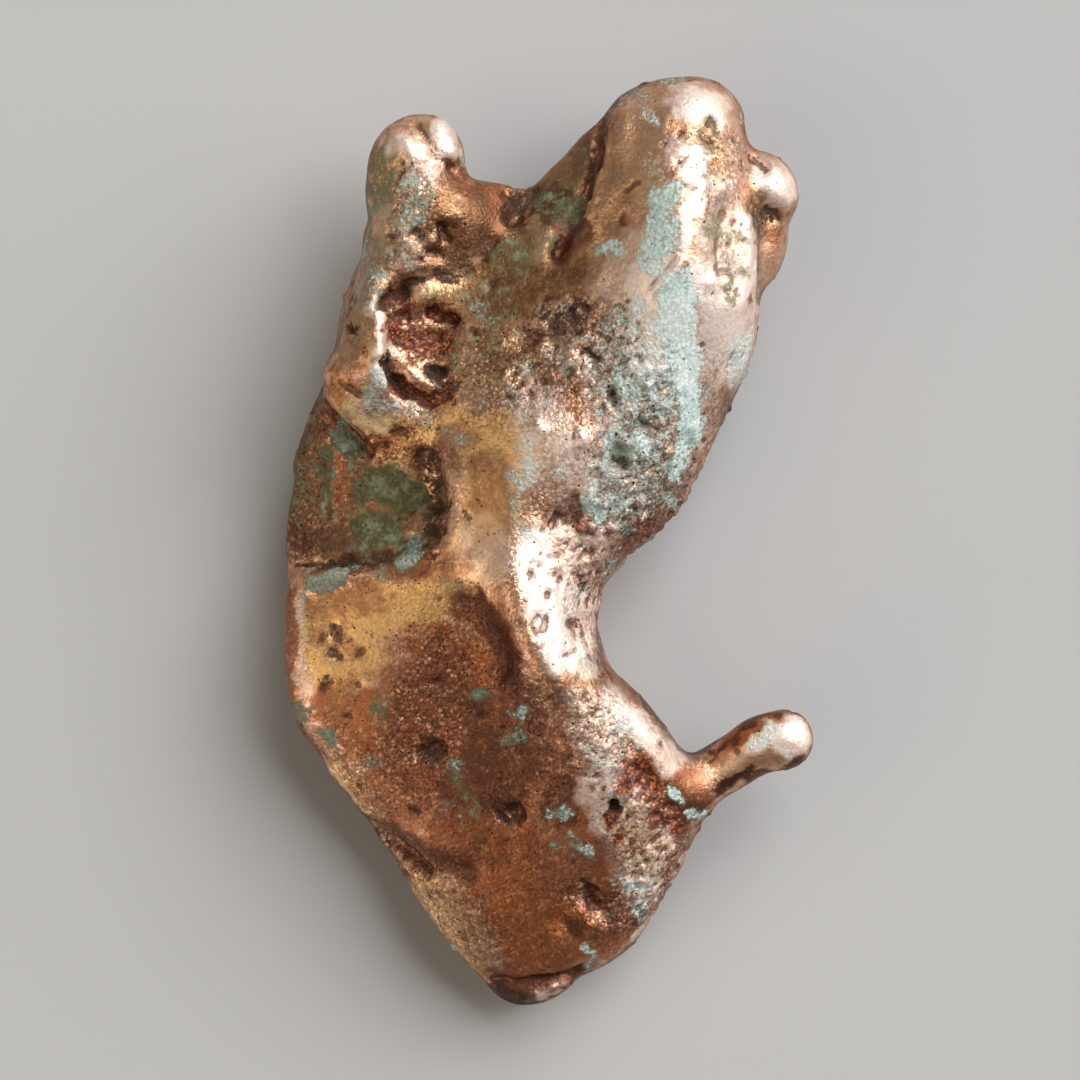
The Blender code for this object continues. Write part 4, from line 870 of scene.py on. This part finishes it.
def facets(n, t, c):
    """The surface's normal, tilted another way on every speck, so that the grain sparkles."""
    lean = n.vector("SUBTRACT", t.speck_colour, (0.5,) * 3)
    tilt = n.times(n.blend(c.grain, TILT_METAL, TILT_GRAIN), c.crisp)
    tilted = n.add("VectorMath", {0: lean, "Scale": tilt}, operation="SCALE")[0]
    return n.vector("NORMALIZE", n.vector("ADD", n.add("NewGeometry")["Normal"], tilted))


def relief(n, t, c):
    """Fine bumps over the facets: cobbled grains, grit, crust and pocks."""
    cobble = n.times(n.times(t.grain_middle, c.crisp), n.blend(c.grain, COBBLE_METAL, COBBLE_GRAIN))
    grit = n.blend(c.gold, n.blend(c.dark, FINE_METAL, FINE_DARK), FINE_GOLD)
    height = n.times_plus(t.fine, grit, n.times_plus(c.crust, CRUST_HEIGHT, cobble))
    height = n.times_plus(c.pock, POCK_HEIGHT, height)
    inputs = {"Strength": BUMP_STRENGTH, "Distance": BUMP_DISTANCE, "Height": height}
    return n.add("Bump", {**inputs, "Normal": facets(n, t, c)})[0]


def native_copper():
    material = bpy.data.materials.new(FINISH)
    material.use_nodes = True
    material.node_tree.nodes.clear()
    n = Nodes(material.node_tree)
    t = textures(n)
    c = covers(n, t)
    marks(n, t, c)
    shader = n.add("BsdfPrincipled", {
        "Base Color": crusted(n, t, c, speckled(n, t, c, tarnished(n, t, c))),
        "Metallic": metalness(n, c),
        "Roughness": roughness(n, t, c),
        "Normal": relief(n, t, c),
        "Specular IOR Level": SPECULAR,
    })
    n.add("OutputMaterial", {"Surface": shader[0]})
    return material


# ---- putting it together
def shaped_skin():
    """The skin with all its small forms and masks, in millimetres."""
    skin = fine_skin()
    spread = Spread(skin)
    relax(skin, spread)
    masks = painted(points_of(skin), normals_of(skin))
    paint_side_shade(points_of(skin), normals_of(skin), masks)
    cut(skin, CUTS)
    scatter(skin, masks)
    masks["cavity"] = hollows(skin, spread)
    store(skin, masks)
    keep_above_floor(skin)
    return skin


def nugget():
    skin = shaped_skin()
    skin.transform(Matrix.Scale(MM, 4))
    skin.polygons.foreach_set("use_smooth", np.ones(len(skin.polygons), bool))
    skin.materials.append(native_copper())
    thing = link(bpy.data.objects.new(PIECE, skin))
    unwrap(thing)
    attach(thing, "root")
    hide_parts(NODE)


def plain_floor():
    mesh = bpy.data.meshes.new("floor")
    half = FLOOR_SIDE / 2
    corners = [(-half, -half, 0), (half, -half, 0), (half, half, 0), (-half, half, 0)]
    mesh.from_pydata(corners, [], [(0, 1, 2, 3)])
    floor = link(bpy.data.objects.new("floor", mesh))
    material = bpy.data.materials.new("floor_paper")
    material.use_nodes = True
    shader = material.node_tree.nodes["Principled BSDF"]
    shader.inputs["Base Color"].default_value = FLOOR_COLOUR
    shader.inputs["Roughness"].default_value = FLOOR_ROUGHNESS
    mesh.materials.append(material)


def lamps():
    for name, direction, distance, side, radiance, colour in LAMPS:
        lamp = bpy.data.lights.new(name, "AREA")
        lamp.shape, lamp.size = "SQUARE", side
        lamp.energy, lamp.color = radiance * math.pi * side ** 2, colour
        placed = link(bpy.data.objects.new(name, lamp))
        towards = Vector(direction).normalized()
        placed.location = towards * distance
        placed.rotation_euler = towards.to_track_quat("Z", "Y").to_euler()
        placed.visible_camera = False


def sky():
    world = bpy.data.worlds.new("sky")
    world.use_nodes = True
    world.node_tree.nodes["Background"].inputs["Color"].default_value = SKY
    bpy.context.scene.world = world


def camera():
    """Looks straight down, with the nugget's middle where it is in the frame."""
    lens = bpy.data.cameras.new("camera")
    lens.lens, lens.sensor_width = LENS, SENSOR
    lens.clip_start = CLIP_START
    placed = link(bpy.data.objects.new("camera", lens))
    pixel = MM / PIXELS_PER_MM
    distance = FRAME_PIXELS * pixel * LENS / SENSOR
    placed.location = (
        (FRAME_PIXELS / 2 - MIDDLE_PIXEL[0]) * pixel,
        (MIDDLE_PIXEL[1] - FRAME_PIXELS / 2) * pixel,
        distance + FOCUS_HEIGHT * MM,
    )
    bpy.context.scene.camera = placed


nugget()
plain_floor()
lamps()
sky()
camera()
bpy.context.scene.view_settings.view_transform = "Standard"
